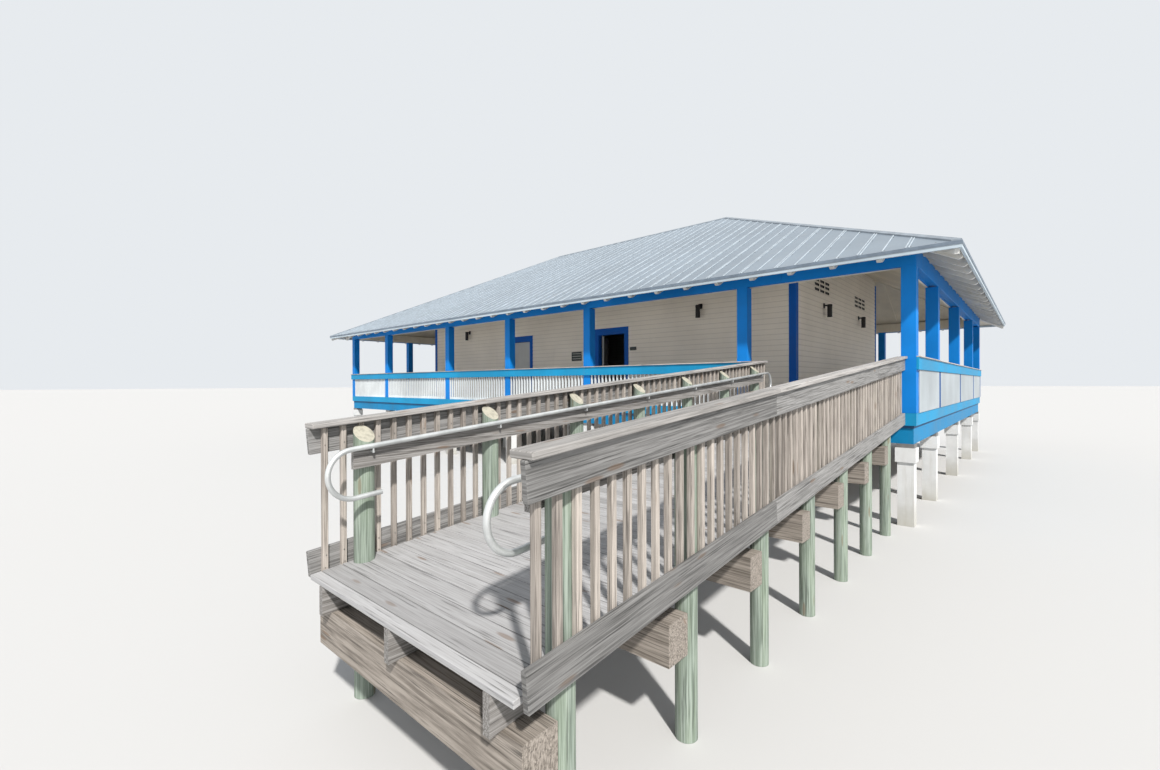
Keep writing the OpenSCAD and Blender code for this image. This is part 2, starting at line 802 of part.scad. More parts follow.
module handrail_boards() {
  color(weathered) at_grab()
    ramp_part(0, board_t, ramp_ys[post_n] - 130, ramp_ys[0] + 130, pipe_z - 155, pipe_z - 15);
}

// Pipe handrail with a return bend at each end, held by short arms
pipe_x = board_t + 40;
module pipe() {
  r = pipe_d/2;
  y0 = -(ramp_run - pipe_bend - r)/cos(ramp_a);
  y1 = -546;
  translate([pipe_x, -hd, floor_h + pipe_z]) rotate([ramp_a, 0, 0]) {
    translate([0, y1, 0]) rotate([90, 0, 0]) cylinder(r = r, h = y1 - y0, $fn = 48);
    for (e = [[y1, 0], [y0, 1]]) translate([0, e[0], -pipe_bend]) mirror([0, e[1], 0]) {
      rotate([0, 90, 0]) rotate_extrude(angle = 180, $fn = 64)
        translate([pipe_bend, 0]) circle(r = r, $fn = 48);
      translate([0, 0, -pipe_bend]) rotate([90, 0, 0]) cylinder(r = r, h = 200, $fn = 48);
    }
  }
  for (y = ramp_ys) translate([board_t, y, ramp_z(y) + pipe_z - 45])
    union() {
      rotate([0, 90, 0]) cylinder(d = 14, h = pipe_x - board_t + 6, $fn = 32);
      translate([pipe_x - board_t, 0, -7]) cylinder(d = 14, h = 45, $fn = 32);
    }
}

module ramp_handrails() { color(metal) at_grab() pipe(); }

piles();
saddle_blocks();
outer_girders();
inner_girders();
joist_bands();
floor_joists();
rim_boards();
floor_deck();
porch_posts();
porch_beams();
front_wall_right();
front_wall_middle();
front_wall_left();
door_heads();
back_wall();
left_wall();
right_wall();
corner_boards();
door_casings();
door_leaf();
door_hinges();
closed_leaf();
vent_plates();
wall_lamps();
wall_plates();
porch_ceiling();
rafters();
hip_rafters();
roof_front();
roof_back();
roof_left();
roof_right();
roof_caps();
fascia();
drip_edge();
rail_boards();
rail_caps();
front_pickets();
back_pickets();
side_panels();
ramp_deck();
ramp_stringers();
ramp_cross_beams();
ramp_posts();
ramp_left_railing();
ramp_right_railing();
handrail_boards();
ramp_handrails();
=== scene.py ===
"""Looks for the raised beach building: boards, laps, ribs, screws and finishes."""
import math
import random

import bmesh
import bpy
from mathutils import Matrix, Vector


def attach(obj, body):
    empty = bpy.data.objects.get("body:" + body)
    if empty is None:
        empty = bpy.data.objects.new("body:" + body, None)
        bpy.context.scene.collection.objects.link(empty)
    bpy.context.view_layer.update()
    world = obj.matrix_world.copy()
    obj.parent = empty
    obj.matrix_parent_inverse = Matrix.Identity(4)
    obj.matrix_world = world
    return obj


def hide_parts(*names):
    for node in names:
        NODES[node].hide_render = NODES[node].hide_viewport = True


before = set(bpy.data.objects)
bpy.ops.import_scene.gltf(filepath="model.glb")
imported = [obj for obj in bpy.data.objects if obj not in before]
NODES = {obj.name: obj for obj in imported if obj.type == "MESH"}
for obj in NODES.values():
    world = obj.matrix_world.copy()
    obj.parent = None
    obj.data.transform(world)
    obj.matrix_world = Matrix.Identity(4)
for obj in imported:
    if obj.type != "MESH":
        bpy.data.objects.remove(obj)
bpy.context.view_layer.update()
rng = random.Random(7)

# Sizes shared with the solids, in metres
BOARD, POST = 0.038, 0.213
MID_BAY, LONG_BAY, END_BAY = 3.073, 4.097, 2.817
SIDE_BAY, SIDE_END = 3.654, 2.491
PORCH_D, PORCH_S = 2.335, 2.688
EAVE, PITCH = 0.649, 0.505
FLOOR = 1.7
EDGE = FLOOR + 2.68
RIM_UP = 0.148
BEAM_Z, BEAM_H = 2.541, 0.302
RAIL_H, RAIL_BOARD, RAIL_CAP_T, CAP_W = 1.075, 0.202, 0.018, 0.062
DOOR_X, DOOR_W, DOOR_H, JAMB = 1.516, 1.042, 2.146, 0.03
CASING, CORNER = 0.147, 0.139
RAMP_W, RAMP_RUN, RAMP_FALL, RAMP_H = 2.251, 8.282, 0.714, 1.075
RAMP_GAP, RAMP_FIRST, RAMP_INSET = 1.201, 0.714, 0.21
PICKET, PICKET_PITCH, SIDE_BOARD, RAIL_LOW = 0.038, 0.135, 0.19, -0.04
RAFTER_D, ROOF_T = 0.16, 0.042

HALF_W = MID_BAY + LONG_BAY + END_BAY + POST / 2
HALF_D = SIDE_BAY + SIDE_END + POST / 2
ROOM_X, ROOM_Y = HALF_W - PORCH_S, HALF_D - PORCH_D
EAVE_X, EAVE_Y = HALF_W + EAVE, HALF_D + EAVE
SLOPE = math.atan(PITCH)
RAMP_RIGHT = HALF_W - RAMP_INSET
RAMP_LEFT = RAMP_RIGHT - RAMP_W
RAMP_ANGLE = math.atan(RAMP_FALL / RAMP_RUN)
RAMP_POST_Y = [-HALF_D - RAMP_FIRST - RAMP_GAP * i for i in range(7)]
BAYS = [MID_BAY, MID_BAY + LONG_BAY, MID_BAY + LONG_BAY + END_BAY]
POST_X = [-x for x in reversed(BAYS)] + [0.0] + BAYS
SIDE_Y = [-SIDE_BAY, 0.0, SIDE_BAY]

# Sizes of the laps and boards that are added here
EXPOSE, LAP_T, LAP_BACK, LAP_OUT, LAP_TILT = 0.128, 0.0075, 0.0125, 0.0215, 0.072
LAP_OVER, LAP_LEAST, LAP_END_GAP, LAP_SHIFT = 0.012, 0.03, 0.0015, 1.37
LAP_START = FLOOR + 0.01
SOFFIT_BOARD = 0.07
DECK_PITCH = 0.1445
# Lengths that boards are sold in, 12 and 16 feet, and the shortest end piece
BOARD_12, BOARD_16, END_LEAST = 3.66, 4.88, 0.4
SLIVER, TINY = 0.02, 1e-4
BOARD_GAP, TRIM_GAP, PLATE_GAP = 0.002, 0.002, 0.001
# How far the middle of a nail or screw head stands out of its board
HEAD_OUT = 0.0005


def ramp_z(y):
    """Height of the ramp's deck at y."""
    return FLOOR + (y + HALF_D) * RAMP_FALL / RAMP_RUN


# Shader expressions
class Sock:
    """A node's output, with arithmetic that adds Math nodes to the same tree."""

    def __init__(self, maker, sock):
        self.maker = maker
        self.sock = sock

    def _math(self, op, *values):
        return self.maker.node("Math", {"operation": op}, places=enumerate(values))

    def __add__(self, o):
        return self._math("ADD", self, o)

    def __radd__(self, o):
        return self._math("ADD", o, self)

    def __sub__(self, o):
        return self._math("SUBTRACT", self, o)

    def __rsub__(self, o):
        return self._math("SUBTRACT", o, self)

    def __mul__(self, o):
        return self._math("MULTIPLY", self, o)

    def __rmul__(self, o):
        return self._math("MULTIPLY", o, self)

    def __lt__(self, o):
        return self._math("LESS_THAN", self, o)

    def __gt__(self, o):
        return self._math("GREATER_THAN", self, o)

    def fraction(self):
        return self._math("FRACT", self)

    def larger(self, o):
        return self._math("MAXIMUM", self, o)

    def step(self, lo, hi):
        """0 below lo, 1 above hi, smooth between."""
        settings = {"interpolation_type": "SMOOTHSTEP", "clamp": True}
        return self.maker.node("MapRange", settings, Value=self, From_Min=lo, From_Max=hi)

    def siblings(self):
        """Every output of the node, this one among them."""
        return [Sock(self.maker, o) for o in self.sock.node.outputs]


class Nodes:
    """Adds nodes to one tree."""

    def __init__(self, tree):
        self.tree = tree

    def put(self, target, value):
        """Link an output to a socket, or write a value into it."""
        if isinstance(value, Sock):
            self.tree.links.new(value.sock, target)
        elif target.type == "RGBA":
            target.default_value = (*value, 1.0)
        else:
            target.default_value = value

    def node(self, kind, settings=None, out=0, places=(), **inputs):
        """One node: its settings first, then its sockets by place or by name."""
        node = self.tree.nodes.new("ShaderNode" + kind)
        for key, value in (settings or {}).items():
            setattr(node, key, value)
        for place, value in places:
            self.put(node.inputs[place], value)
        for key, value in inputs.items():
            name = key.replace("_", " ")
            self.put(next(s for s in node.inputs if s.name == name and s.enabled), value)
        return Sock(self, node.outputs[out])

    def coords(self):
        """Object coordinates."""
        return self.node("TexCoord", out=3)

    def split(self, v):
        return self.node("SeparateXYZ", places=((0, v),)).siblings()

    def join(self, x, y, z):
        return self.node("CombineXYZ", X=x, Y=y, Z=z)

    def upward(self):
        """The height of the surface's normal: 1 on top, 0 on a wall, -1 below."""
        return self.split(self.node("NewGeometry", out=1))[2]

    def noise(self, v, scale, detail=3.0, rough=0.55):
        return self.node("TexNoise", Vector=v, Scale=scale, Detail=detail, Roughness=rough)

    def mix(self, a, b, f):
        """Colour a where f is 0, colour b where it is 1."""
        return self.node("Mix", {"data_type": "RGBA"}, out=2, places=((0, f), (6, a), (7, b)))

    def bump(self, height, strength, distance):
        return self.node("Bump", Height=height, Strength=strength, Distance=distance)


class Finish(Nodes):
    """One material round a Principled shader."""

    def __init__(self, name):
        self.mat = bpy.data.materials.new(name)
        self.mat.use_nodes = True
        super().__init__(self.mat.node_tree)
        self.bsdf = next(n for n in self.tree.nodes if n.type == "BSDF_PRINCIPLED")

    def done(self, **inputs):
        for key, value in inputs.items():
            self.put(self.bsdf.inputs[key.replace("_", " ")], value)
        return self.mat


DUST, DARK_DUST = (0.52, 0.49, 0.43), (0.42, 0.39, 0.33)
# Colour of the painted shade under each lap of the siding
LAP_SHADE = (0.30, 0.27, 0.23)
ROOF_STAIN, CONCRETE_STAIN, DAMP = (0.40, 0.40, 0.38), (0.36, 0.33, 0.27), (0.30, 0.28, 0.21)
SOFFIT, SOFFIT_JOINT = (0.68, 0.63, 0.53), (0.3, 0.27, 0.22)
KNOT, MOSS, RUST = (0.16, 0.09, 0.045), (0.20, 0.27, 0.14), (0.22, 0.09, 0.035)


def shade(c, k):
    return tuple(min(1.0, x * k) for x in c)


def paint(name, colour, dirt=(0.32, 0.30, 0.26), amount=0.16, rough=0.45, grain=True, sheen=0.4):
    """Exterior paint on timber: faint brush grain, chalky patches and dirt."""
    m = Finish(name)
    p = m.coords()
    x, y, z = m.split(p)
    broad = m.noise(p, 0.9, 4.0)
    fine = m.noise(p, 14.0, 4.0)
    col = m.mix(shade(colour, 0.86), shade(colour, 1.1), broad.step(0.3, 0.7))
    streak = m.noise(m.join(x * 3.0, y * 3.0, z * 0.35), 2.4, 5.0)
    mask = streak.step(0.52, 0.8) * amount + fine.step(0.62, 0.8) * (amount * 0.5)
    col = m.mix(col, dirt, mask)
    height = fine * 0.4
    if grain:
        height = height + m.noise(m.join(x * 9.0, y * 9.0, z * 9.0), 9.0, 2.0) * 0.5
    return m.done(Base_Color=col, Roughness=broad.step(0.2, 0.8) * 0.16 + (rough - 0.08),
                  Normal=m.bump(height, 0.14, 0.002), Specular_IOR_Level=sheen)


def siding_paint(name, colour):
    """White laps: faint grain, weather stains, and painted shade along each board's top, under the
    next lap.
    """
    m = Finish(name)
    p = m.coords()
    x, y, z = m.split(p)
    broad = m.noise(p, 0.5, 4.0)
    grain = m.noise(m.join(x * 1.4, y * 1.4, z * 34.0), 5.0, 5.0)
    streak = m.noise(m.join(x * 5.0, y * 5.0, z * 0.5), 1.6, 5.0)
    col = m.mix(shade(colour, 0.93), shade(colour, 1.05), broad.step(0.3, 0.7))
    col = m.mix(col, DUST, streak.step(0.55, 0.85) * 0.16)
    low = 1.0 - (z - FLOOR).step(0.0, 0.5)
    col = m.mix(col, DARK_DUST, low * 0.22 * grain.step(0.35, 0.65))
    # Painted shade: a dark line at the top of each course, where the lap above casts its shadow
    under_next_lap = ((z - LAP_START) * (1.0 / EXPOSE)).fraction()
    col = m.mix(col, LAP_SHADE, under_next_lap.step(0.80, 0.97) * 0.30)
    return m.done(Base_Color=col, Roughness=grain * 0.12 + 0.5, Normal=m.bump(grain, 0.22, 0.0015))


def roof_metal(name, colour):
    """Pale coated sheet on top, cream boards beneath."""
    m = Finish(name)
    p = m.coords()
    x, y, z = m.split(p)
    broad = m.noise(p, 0.35, 4.0)
    fine = m.noise(p, 30.0, 2.0)
    run = m.noise(m.join(x * 4.0, y * 4.0, z * 0.6), 1.2, 5.0)
    col = m.mix(shade(colour, 0.9), shade(colour, 1.08), broad.step(0.32, 0.68))
    col = m.mix(col, ROOF_STAIN, run.step(0.5, 0.82) * 0.20)
    under = 1.0 - (m.upward() > -0.2)
    lines = ((z * (1.0 / SOFFIT_BOARD)).fraction() < 0.06) * 0.5
    soffit = m.mix(SOFFIT, SOFFIT_JOINT, lines)
    col = m.mix(col, soffit, under)
    oil = m.noise(m.join(x, y, z), 2.2, 2.0)
    return m.done(Base_Color=col, Metallic=(1.0 - under) * 0.35,
                  Roughness=fine * 0.12 + 0.34 + under * 0.3,
                  Normal=m.bump(oil, 0.10, 0.02))


def plank(name, dark, light, green=0.0, grain_scale=1.0, long_axis=None, bleach=0.25, top=None):
    """Weathered timber. Grain runs along u, or along one axis of the object."""
    m = Finish(name)
    if long_axis:
        x, y, z = m.split(m.coords())
        u, v, w = {"x": (x, y, z), "y": (y, x, z), "z": (z, x, y)}[long_axis]
        tone = m.noise(m.join(u * 0.02, v * 1.3, w * 1.3), 1.0, 0.0)
    else:
        u, v, w = m.split(m.node("TexCoord", out=2))
        tone = m.node("Attribute", {"attribute_name": "tone"}, out=2)
    base = m.join(u * (0.9 * grain_scale), v * (48.0 * grain_scale),
                  w * 48.0 * grain_scale + tone * 30.0)
    rings = m.noise(base, 2.0, 6.0, 0.65)
    cracks = m.noise(m.join(u * 2.2, v * 90.0, w * 90.0 + tone * 9.0), 1.0, 3.0)
    blot = m.noise(m.join(u * 0.8, v * 5.0, w * 5.0 + tone * 50.0), 1.4, 4.0)
    knots = m.node("TexVoronoi", {"voronoi_dimensions": "3D"},
                   Vector=m.join(u * 1.7, v * 8.0, w * 8.0 + tone * 20.0), Scale=1.0)
    col = m.mix(dark, light, rings.step(0.34, 0.64))
    col = m.mix(col, shade(light, 1.25), blot.step(0.5, 0.75) * bleach)
    col = m.mix(col, shade(light, 1.15), tone.step(0.5, 0.0) * 0.35)
    col = m.mix(col, shade(dark, 0.35), cracks.step(0.55, 0.68) * 0.7)
    col = m.mix(col, KNOT, (1.0 - knots.step(0.08, 0.16)) * 0.55)
    if green:
        col = m.mix(col, MOSS, blot.step(0.35, 0.65) * green)
    col = m.mix(col, shade(dark, 0.62), tone.step(0.5, 1.0) * 0.38)
    if top:
        cut = m.mix(shade(top, 0.72), top, m.noise(m.coords(), 26.0, 4.0).step(0.35, 0.6))
        col = m.mix(col, cut, m.upward() > 0.25)
    height = rings * 0.6 - cracks.step(0.6, 0.72) * 1.0
    return m.done(Base_Color=col, Roughness=rings * 0.18 + 0.66, Normal=m.bump(height, 0.5, 0.003))


def metal(name, colour, metallic, rough, rust=0.0):
    """Sheet or fittings: worn patches, fine specks and, if asked for, rust."""
    m = Finish(name)
    p = m.coords()
    broad = m.noise(p, 6.0, 4.0)
    fine = m.noise(p, 60.0, 3.0)
    col = m.mix(shade(colour, 0.82), shade(colour, 1.12), broad.step(0.3, 0.7))
    if rust:
        col = m.mix(col, RUST, (broad * 0.6 + fine * 0.4).step(0.55, 0.66) * rust)
    return m.done(Base_Color=col, Metallic=metallic, Roughness=fine * 0.14 + rough,
                  Normal=m.bump(fine, 0.10, 0.001))


def masonry(name, colour):
    """Painted piles: pitted, streaked and stained near the ground."""
    m = Finish(name)
    p = m.coords()
    x, y, z = m.split(p)
    broad = m.noise(p, 1.7, 5.0)
    pits = m.noise(p, 55.0, 4.0)
    run = m.noise(m.join(x * 7.0, y * 7.0, z * 0.7), 1.5, 5.0)
    col = m.mix(shade(colour, 0.86), shade(colour, 1.05), broad.step(0.3, 0.7))
    col = m.mix(col, CONCRETE_STAIN, run.step(0.48, 0.78) * 0.32)
    damp = 1.0 - (z + broad * 0.4).step(0.15, 0.75)
    col = m.mix(col, DAMP, damp * 0.55)
    return m.done(Base_Color=col, Roughness=pits * 0.2 + 0.62,
                  Normal=m.bump(pits * 0.7 - pits.step(0.62, 0.7) * 0.6, 0.35, 0.003))


BLUE = (0.005, 0.195, 0.600)
blue = paint("blue_paint", BLUE, dirt=(0.01, 0.12, 0.42), amount=0.18, rough=0.5, sheen=0.15)
# Darker copy of the blue paint for the door casings and corner boards: painted shade
shaded_trim_blue = paint("shaded_trim_blue", (0.005, 0.110, 0.480), dirt=(0.01, 0.08, 0.32), amount=0.18,
                  rough=0.5, sheen=0.15)
# Lighter, greener copy of the blue paint for the rails and rim boards: painted sunlight
sunlit_rail_blue = paint("sunlit_rail_blue", (0.012, 0.265, 0.500), dirt=(0.05, 0.21, 0.35), amount=0.25,
                  rough=0.5, sheen=0.15)
# More cyan copy of the blue paint for the outer girders: painted sunlight in its hue, with more
# real dirt
dirty_sunlit_blue = paint("sunlit_blue_structure", (0.007, 0.205, 0.430), dirt=(0.04, 0.14, 0.24), amount=0.3,
                  rough=0.5, sheen=0.15)
white = paint("white_trim", (0.62, 0.66, 0.68), amount=0.16, rough=0.45)
panel_paint = paint("panel_paint", (0.37, 0.41, 0.435), dirt=(0.27, 0.28, 0.28), amount=0.22,
                    rough=0.55)
fascia_paint = paint("fascia_paint", (0.46, 0.54, 0.60), amount=0.2, rough=0.5)
# Dark navy for the post boards in the side-panel joints: the posts' blue darkened as painted shade
shaded_joint_paint = paint("shaded_joint_paint", (0.012, 0.075, 0.24), dirt=(0.05, 0.07, 0.10), amount=0.2,
                    rough=0.6, sheen=0.15)
rafter_paint = paint("rafter_paint", (0.62, 0.62, 0.60), dirt=(0.34, 0.30, 0.24), amount=0.2,
                     rough=0.55)
cream = paint("cream_soffit", SOFFIT, dirt=(0.36, 0.30, 0.22), amount=0.22, rough=0.6)
bands = paint("joist_band_paint", (0.03, 0.11, 0.24), dirt=(0.10, 0.12, 0.13), amount=0.4,
              rough=0.6, sheen=0.2)
siding = siding_paint("white_siding", (0.88, 0.82, 0.73))
roof = roof_metal("roof_sheet", (0.25, 0.30, 0.35))
rib_metal = metal("roof_ribs", (0.46, 0.52, 0.57), 0.2, 0.36)
cap_metal = metal("roof_caps", (0.27, 0.31, 0.35), 0.3, 0.4)
drip_metal = metal("drip_edge", (0.16, 0.20, 0.25), 0.2, 0.42)
deck_wood = plank("deck_boards", (0.17, 0.145, 0.12), (0.42, 0.38, 0.32))
# Side boards of the ramp railings, darker grey than the caps: partly weathered timber, partly
# painted shade
shaded_ramp_wood = plank("shaded_ramp_timber", (0.095, 0.093, 0.090), (0.30, 0.297, 0.292), bleach=0.3)
cap_wood = plank("ramp_cap_timber", (0.21, 0.20, 0.19), (0.44, 0.425, 0.41), bleach=0.3)
picket_wood = plank("picket_timber", (0.20, 0.175, 0.155), (0.48, 0.435, 0.39), bleach=0.5,
                    grain_scale=1.6)
rail_cap_wood = plank("rail_cap_timber", (0.30, 0.25, 0.22), (0.62, 0.57, 0.53), bleach=0.5)
ramp_deck_wood = plank("ramp_boards", (0.31, 0.305, 0.305), (0.43, 0.43, 0.435), bleach=0.15)
joist_wood = plank("joist_timber", (0.34, 0.27, 0.17), (0.58, 0.49, 0.34),
                   long_axis="y")
frame_wood = plank("ramp_frame_timber", (0.13, 0.12, 0.11), (0.33, 0.32, 0.31),
                   long_axis="y")
beam_wood = plank("cross_timber", (0.14, 0.12, 0.10), (0.36, 0.32, 0.28),
                  long_axis="x")
inner_wood = plank("inner_girder_timber", (0.34, 0.27, 0.17), (0.58, 0.49, 0.34),
                   long_axis="x")
pole_wood = plank("treated_poles", (0.15, 0.19, 0.155), (0.33, 0.385, 0.335), green=0.2,
                  long_axis="z", bleach=0.35, top=(0.45, 0.43, 0.35))
pile_paint = masonry("pile_paint", (0.70, 0.71, 0.71))
grey_block = metal("saddle_grey", (0.20, 0.20, 0.20), 0.2, 0.6, rust=0.25)
lens_glass = metal("lamp_lens", (0.62, 0.60, 0.52), 0.0, 0.25)
notice_strip = paint("notice_strips", (0.46, 0.47, 0.43), amount=0.2, rough=0.5, grain=False)
notice_panel = paint("notice_panels", (0.016, 0.030, 0.026), dirt=(0.05, 0.05, 0.045), amount=0.2,
                     rough=0.3, grain=False)
dark_metal = metal("dark_fittings", (0.018, 0.018, 0.02), 0.2, 0.42)
bolt_metal = metal("bolts", (0.32, 0.31, 0.29), 0.9, 0.42, rust=0.5)
door_paint = paint("door_paint", (0.50, 0.51, 0.50), amount=0.14, rough=0.38, grain=False)
hinge_steel = metal("hinge_steel", (0.45, 0.45, 0.44), 0.9, 0.36, rust=0.12)
pipe_metal = metal("pipe_metal", (0.60, 0.62, 0.62), 0.55, 0.34, rust=0.08)

LOOKS = {
    "piles": pile_paint, "saddle_blocks": grey_block, "outer_girders": dirty_sunlit_blue,
    "inner_girders": inner_wood, "joist_bands": bands, "floor_joists": joist_wood,
    "rim_boards": sunlit_rail_blue, "floor_deck": deck_wood, "porch_posts": blue, "porch_beams": blue,
    "front_wall_right": siding, "front_wall_middle": siding, "front_wall_left": siding,
    "door_heads": siding, "back_wall": siding, "left_wall": siding, "right_wall": siding,
    "corner_boards": shaded_trim_blue, "door_casings": shaded_trim_blue, "door_leaf": door_paint,
    "closed_leaf": door_paint, "door_hinges": hinge_steel, "vent_plates": dark_metal,
    "wall_lamps": dark_metal, "wall_plates": dark_metal, "porch_ceiling": cream,
    "rafters": rafter_paint, "hip_rafters": rafter_paint, "roof_front": roof, "roof_back": roof,
    "roof_left": roof, "roof_right": roof, "roof_caps": cap_metal, "fascia": fascia_paint,
    "drip_edge": drip_metal, "rail_boards": sunlit_rail_blue, "rail_caps": rail_cap_wood,
    "front_pickets": white, "back_pickets": white, "side_panels": panel_paint,
    "ramp_deck": ramp_deck_wood,
    "ramp_stringers": frame_wood, "ramp_cross_beams": beam_wood, "ramp_posts": pole_wood,
    "ramp_left_railing": shaded_ramp_wood, "ramp_right_railing": shaded_ramp_wood,
    "handrail_boards": frame_wood, "ramp_handrails": pipe_metal,
}
for name, mat in LOOKS.items():
    obj = NODES[name]
    obj.data.materials.clear()
    obj.data.materials.append(mat)


# Boards: each is a box whose grain runs along its own X
class Boards:
    """Many boxes in one mesh, with u along each board and one tone per board."""

    def __init__(self, name, mat, bevel=0.0, body="building"):
        self.name, self.mat, self.bevel, self.body = name, mat, bevel, body
        self.bm = bmesh.new()
        self.uv = self.bm.loops.layers.uv.new("grain")
        self.tone = self.bm.faces.layers.float.new("tone")

    def add(self, matrix, size, tone=None, bevel=None):
        """A box of the given size centred on the matrix."""
        out = bmesh.ops.create_cube(self.bm, size=1.0, matrix=Matrix.Diagonal((*size, 1.0)))
        verts = out["verts"]
        bevel = self.bevel if bevel is None else bevel
        if bevel:
            edges = list({e for v in verts for e in v.link_edges})
            out = bmesh.ops.bevel(self.bm, geom=edges, offset=bevel, segments=1, profile=0.5,
                                  affect="EDGES", material=-1)
            verts = list({v for f in out["faces"] for v in f.verts})
        tone = rng.random() if tone is None else tone
        shift = Vector((rng.uniform(0, 50), rng.uniform(0, 5)))
        for face in {f for v in verts for f in v.link_faces}:
            n = [abs(c) for c in face.normal]
            face[self.tone] = tone
            for loop in face.loops:
                co = loop.vert.co
                v = co.z if n[1] >= n[2] else co.y
                if n[0] > 0.8:
                    loop[self.uv].uv = Vector((co.y * 0.05, co.z)) + shift
                else:
                    loop[self.uv].uv = Vector((co.x, v)) + shift
        bmesh.ops.transform(self.bm, matrix=matrix, verts=verts)

    def span(self, a, b, tone=None, bevel=None):
        """Upright box from one corner to the other, grain along its longest side."""
        a, b = Vector(a), Vector(b)
        c, s = (a + b) / 2, b - a
        if s.x >= s.y and s.x >= s.z:
            rot, size = Matrix.Identity(4), (s.x, s.y, s.z)
        elif s.y >= s.z:
            rot, size = Matrix.Rotation(math.pi / 2, 4, "Z"), (s.y, s.x, s.z)
        else:
            rot, size = Matrix.Rotation(-math.pi / 2, 4, "Y"), (s.z, s.y, s.x)
        self.add(Matrix.Translation(c) @ rot, size, tone, bevel)

    def run(self, a, b, length, tone=None, gap=0.003, start=0.0):
        """A long box from a to b cut into boards of about the given length."""
        axis = max(range(3), key=lambda i: b[i] - a[i])
        total = b[axis] - a[axis]
        cuts = [0.0]
        at = start if start else length
        while at < total - END_LEAST:
            cuts.append(at)
            at += length
        cuts.append(total)
        for lo, hi in zip(cuts, cuts[1:]):
            p, q = list(a), list(b)
            p[axis] = a[axis] + lo + (gap / 2 if lo else 0)
            q[axis] = a[axis] + hi - (gap / 2 if hi < total else 0)
            self.span(p, q, tone)

    def lathe(self, matrix, profile, n=32, tone=0.5):
        """A turned shape about Z of the matrix, from (radius, height) pairs upwards."""
        old = set(self.bm.faces)
        points = [self.bm.verts.new((r, 0.0, z)) for r, z in profile]
        line = [self.bm.edges.new(pair) for pair in zip(points, points[1:])]
        bmesh.ops.spin(self.bm, geom=points + line, cent=(0, 0, 0), axis=(0, 0, 1),
                       angle=2 * math.pi, steps=n, use_merge=True)
        verts = {v for f in self.bm.faces if f not in old for v in f.verts}
        bmesh.ops.remove_doubles(self.bm, verts=list(verts), dist=1e-6)
        faces = [f for f in self.bm.faces if f not in old]
        bmesh.ops.recalc_face_normals(self.bm, faces=faces)
        for face in faces:
            face.smooth = True
            face[self.tone] = tone
        verts = {v for f in faces for v in f.verts}
        bmesh.ops.transform(self.bm, matrix=matrix, verts=list(verts))

    def finish(self, *replaced):
        for edge in self.bm.edges:
            if len(edge.link_faces) == 2 and edge.calc_face_angle(0.0) > 0.5:
                edge.smooth = False
        mesh = bpy.data.meshes.new(self.name)
        self.bm.to_mesh(mesh)
        self.bm.free()
        mesh.materials.append(self.mat)
        obj = bpy.data.objects.new(self.name, mesh)
        bpy.context.scene.collection.objects.link(obj)
        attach(obj, self.body)
        if replaced:
            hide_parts(*replaced)
        return obj


def turn(k):
    """A quarter turn for each side: 0 front, 1 right, 2 back, 3 left."""
    return Matrix.Rotation(k * math.pi / 2, 4, "Z")


def sloped_bar(k, x, d0, d1, lift, width, height):
    """Matrix and size of a bar up slope k at x, from d0 to d1 from the edge."""
    e = EAVE_Y if k % 2 == 0 else EAVE_X
    mid = (d0 + d1) / 2
    m = (turn(k) @ Matrix.Translation((x, -e + mid, EDGE + mid * PITCH))
         @ Matrix.Rotation(SLOPE, 4, "X") @ Matrix.Translation((0, 0, lift + height / 2))
         @ Matrix.Rotation(math.pi / 2, 4, "Z"))
    return m, ((d1 - d0) / math.cos(SLOPE), width, height)


# Roof ribs: a pair of narrow ribs at every joint of the sheets, one between
SHEET, FIRST_RIB = 0.663, 0.128
RIB_PAIR, RIB_W, RIB_H, RIB_BACK, RIB_LEAST = 0.021, 0.017, 0.014, 0.002, 0.25
RIDGE_GAP, HIP_GAP = 0.12, 0.14
ribs = Boards("roof_ribs", rib_metal, bevel=0.002)
for k in range(4):
    half = EAVE_X if k % 2 == 0 else EAVE_Y
    n = int(half / SHEET) + 1
    for i in range(-2 * n, 2 * n + 1):
        centre = i * SHEET / 2 + FIRST_RIB
        for x in ((centre - RIB_PAIR, centre + RIB_PAIR) if i % 2 == 0 else (centre,)):
            end = min(EAVE_Y - RIDGE_GAP, half - abs(x) - HIP_GAP)
            if end > RIB_LEAST:
                ribs.add(*sloped_bar(k, x, -RIB_BACK, end, 0.0, RIB_W, RIB_H), tone=0.3)
ribs.finish()

# Screws that hold the sheets, in rows across the slopes
SCREW_ROW, FIRST_ROW, LAST_ROW, SCREW, SCREW_H = 0.69, 0.06, 0.2, 0.012, 0.006
PAIR_SIDE, SINGLE_SIDE = 0.04, 0.02
screws = Boards("roof_screws", bolt_metal)
for k in range(4):
    half = EAVE_X if k % 2 == 0 else EAVE_Y
    d = FIRST_ROW
    while d < EAVE_Y - LAST_ROW:
        n = int((half - d - LAST_ROW) / SHEET * 2)
        for i in range(-n, n + 1):
            x = i * SHEET / 2 + FIRST_RIB + (PAIR_SIDE if i % 2 == 0 else SINGLE_SIDE)
            screws.add(*sloped_bar(k, x, d - SCREW / 2, d + SCREW / 2, 0.0, SCREW, SCREW_H))
        d += SCREW_ROW
screws.finish()

# Lap siding on all walls
laps = Boards("lap_siding", siding)


def free_spans(spans, holes, z0, z1):
    """The parts of the spans that no hole cuts between two heights."""
    for hx0, hx1, hz0, hz1 in holes:
        if z1 > hz0 and z0 < hz1:
            cut = []
            for a, b in spans:
                if hx0 > a:
                    cut.append((a, min(b, hx0)))
                if hx1 < b:
                    cut.append((max(a, hx1), b))
            spans = [s for s in cut if s[1] - s[0] > SLIVER]
    return spans


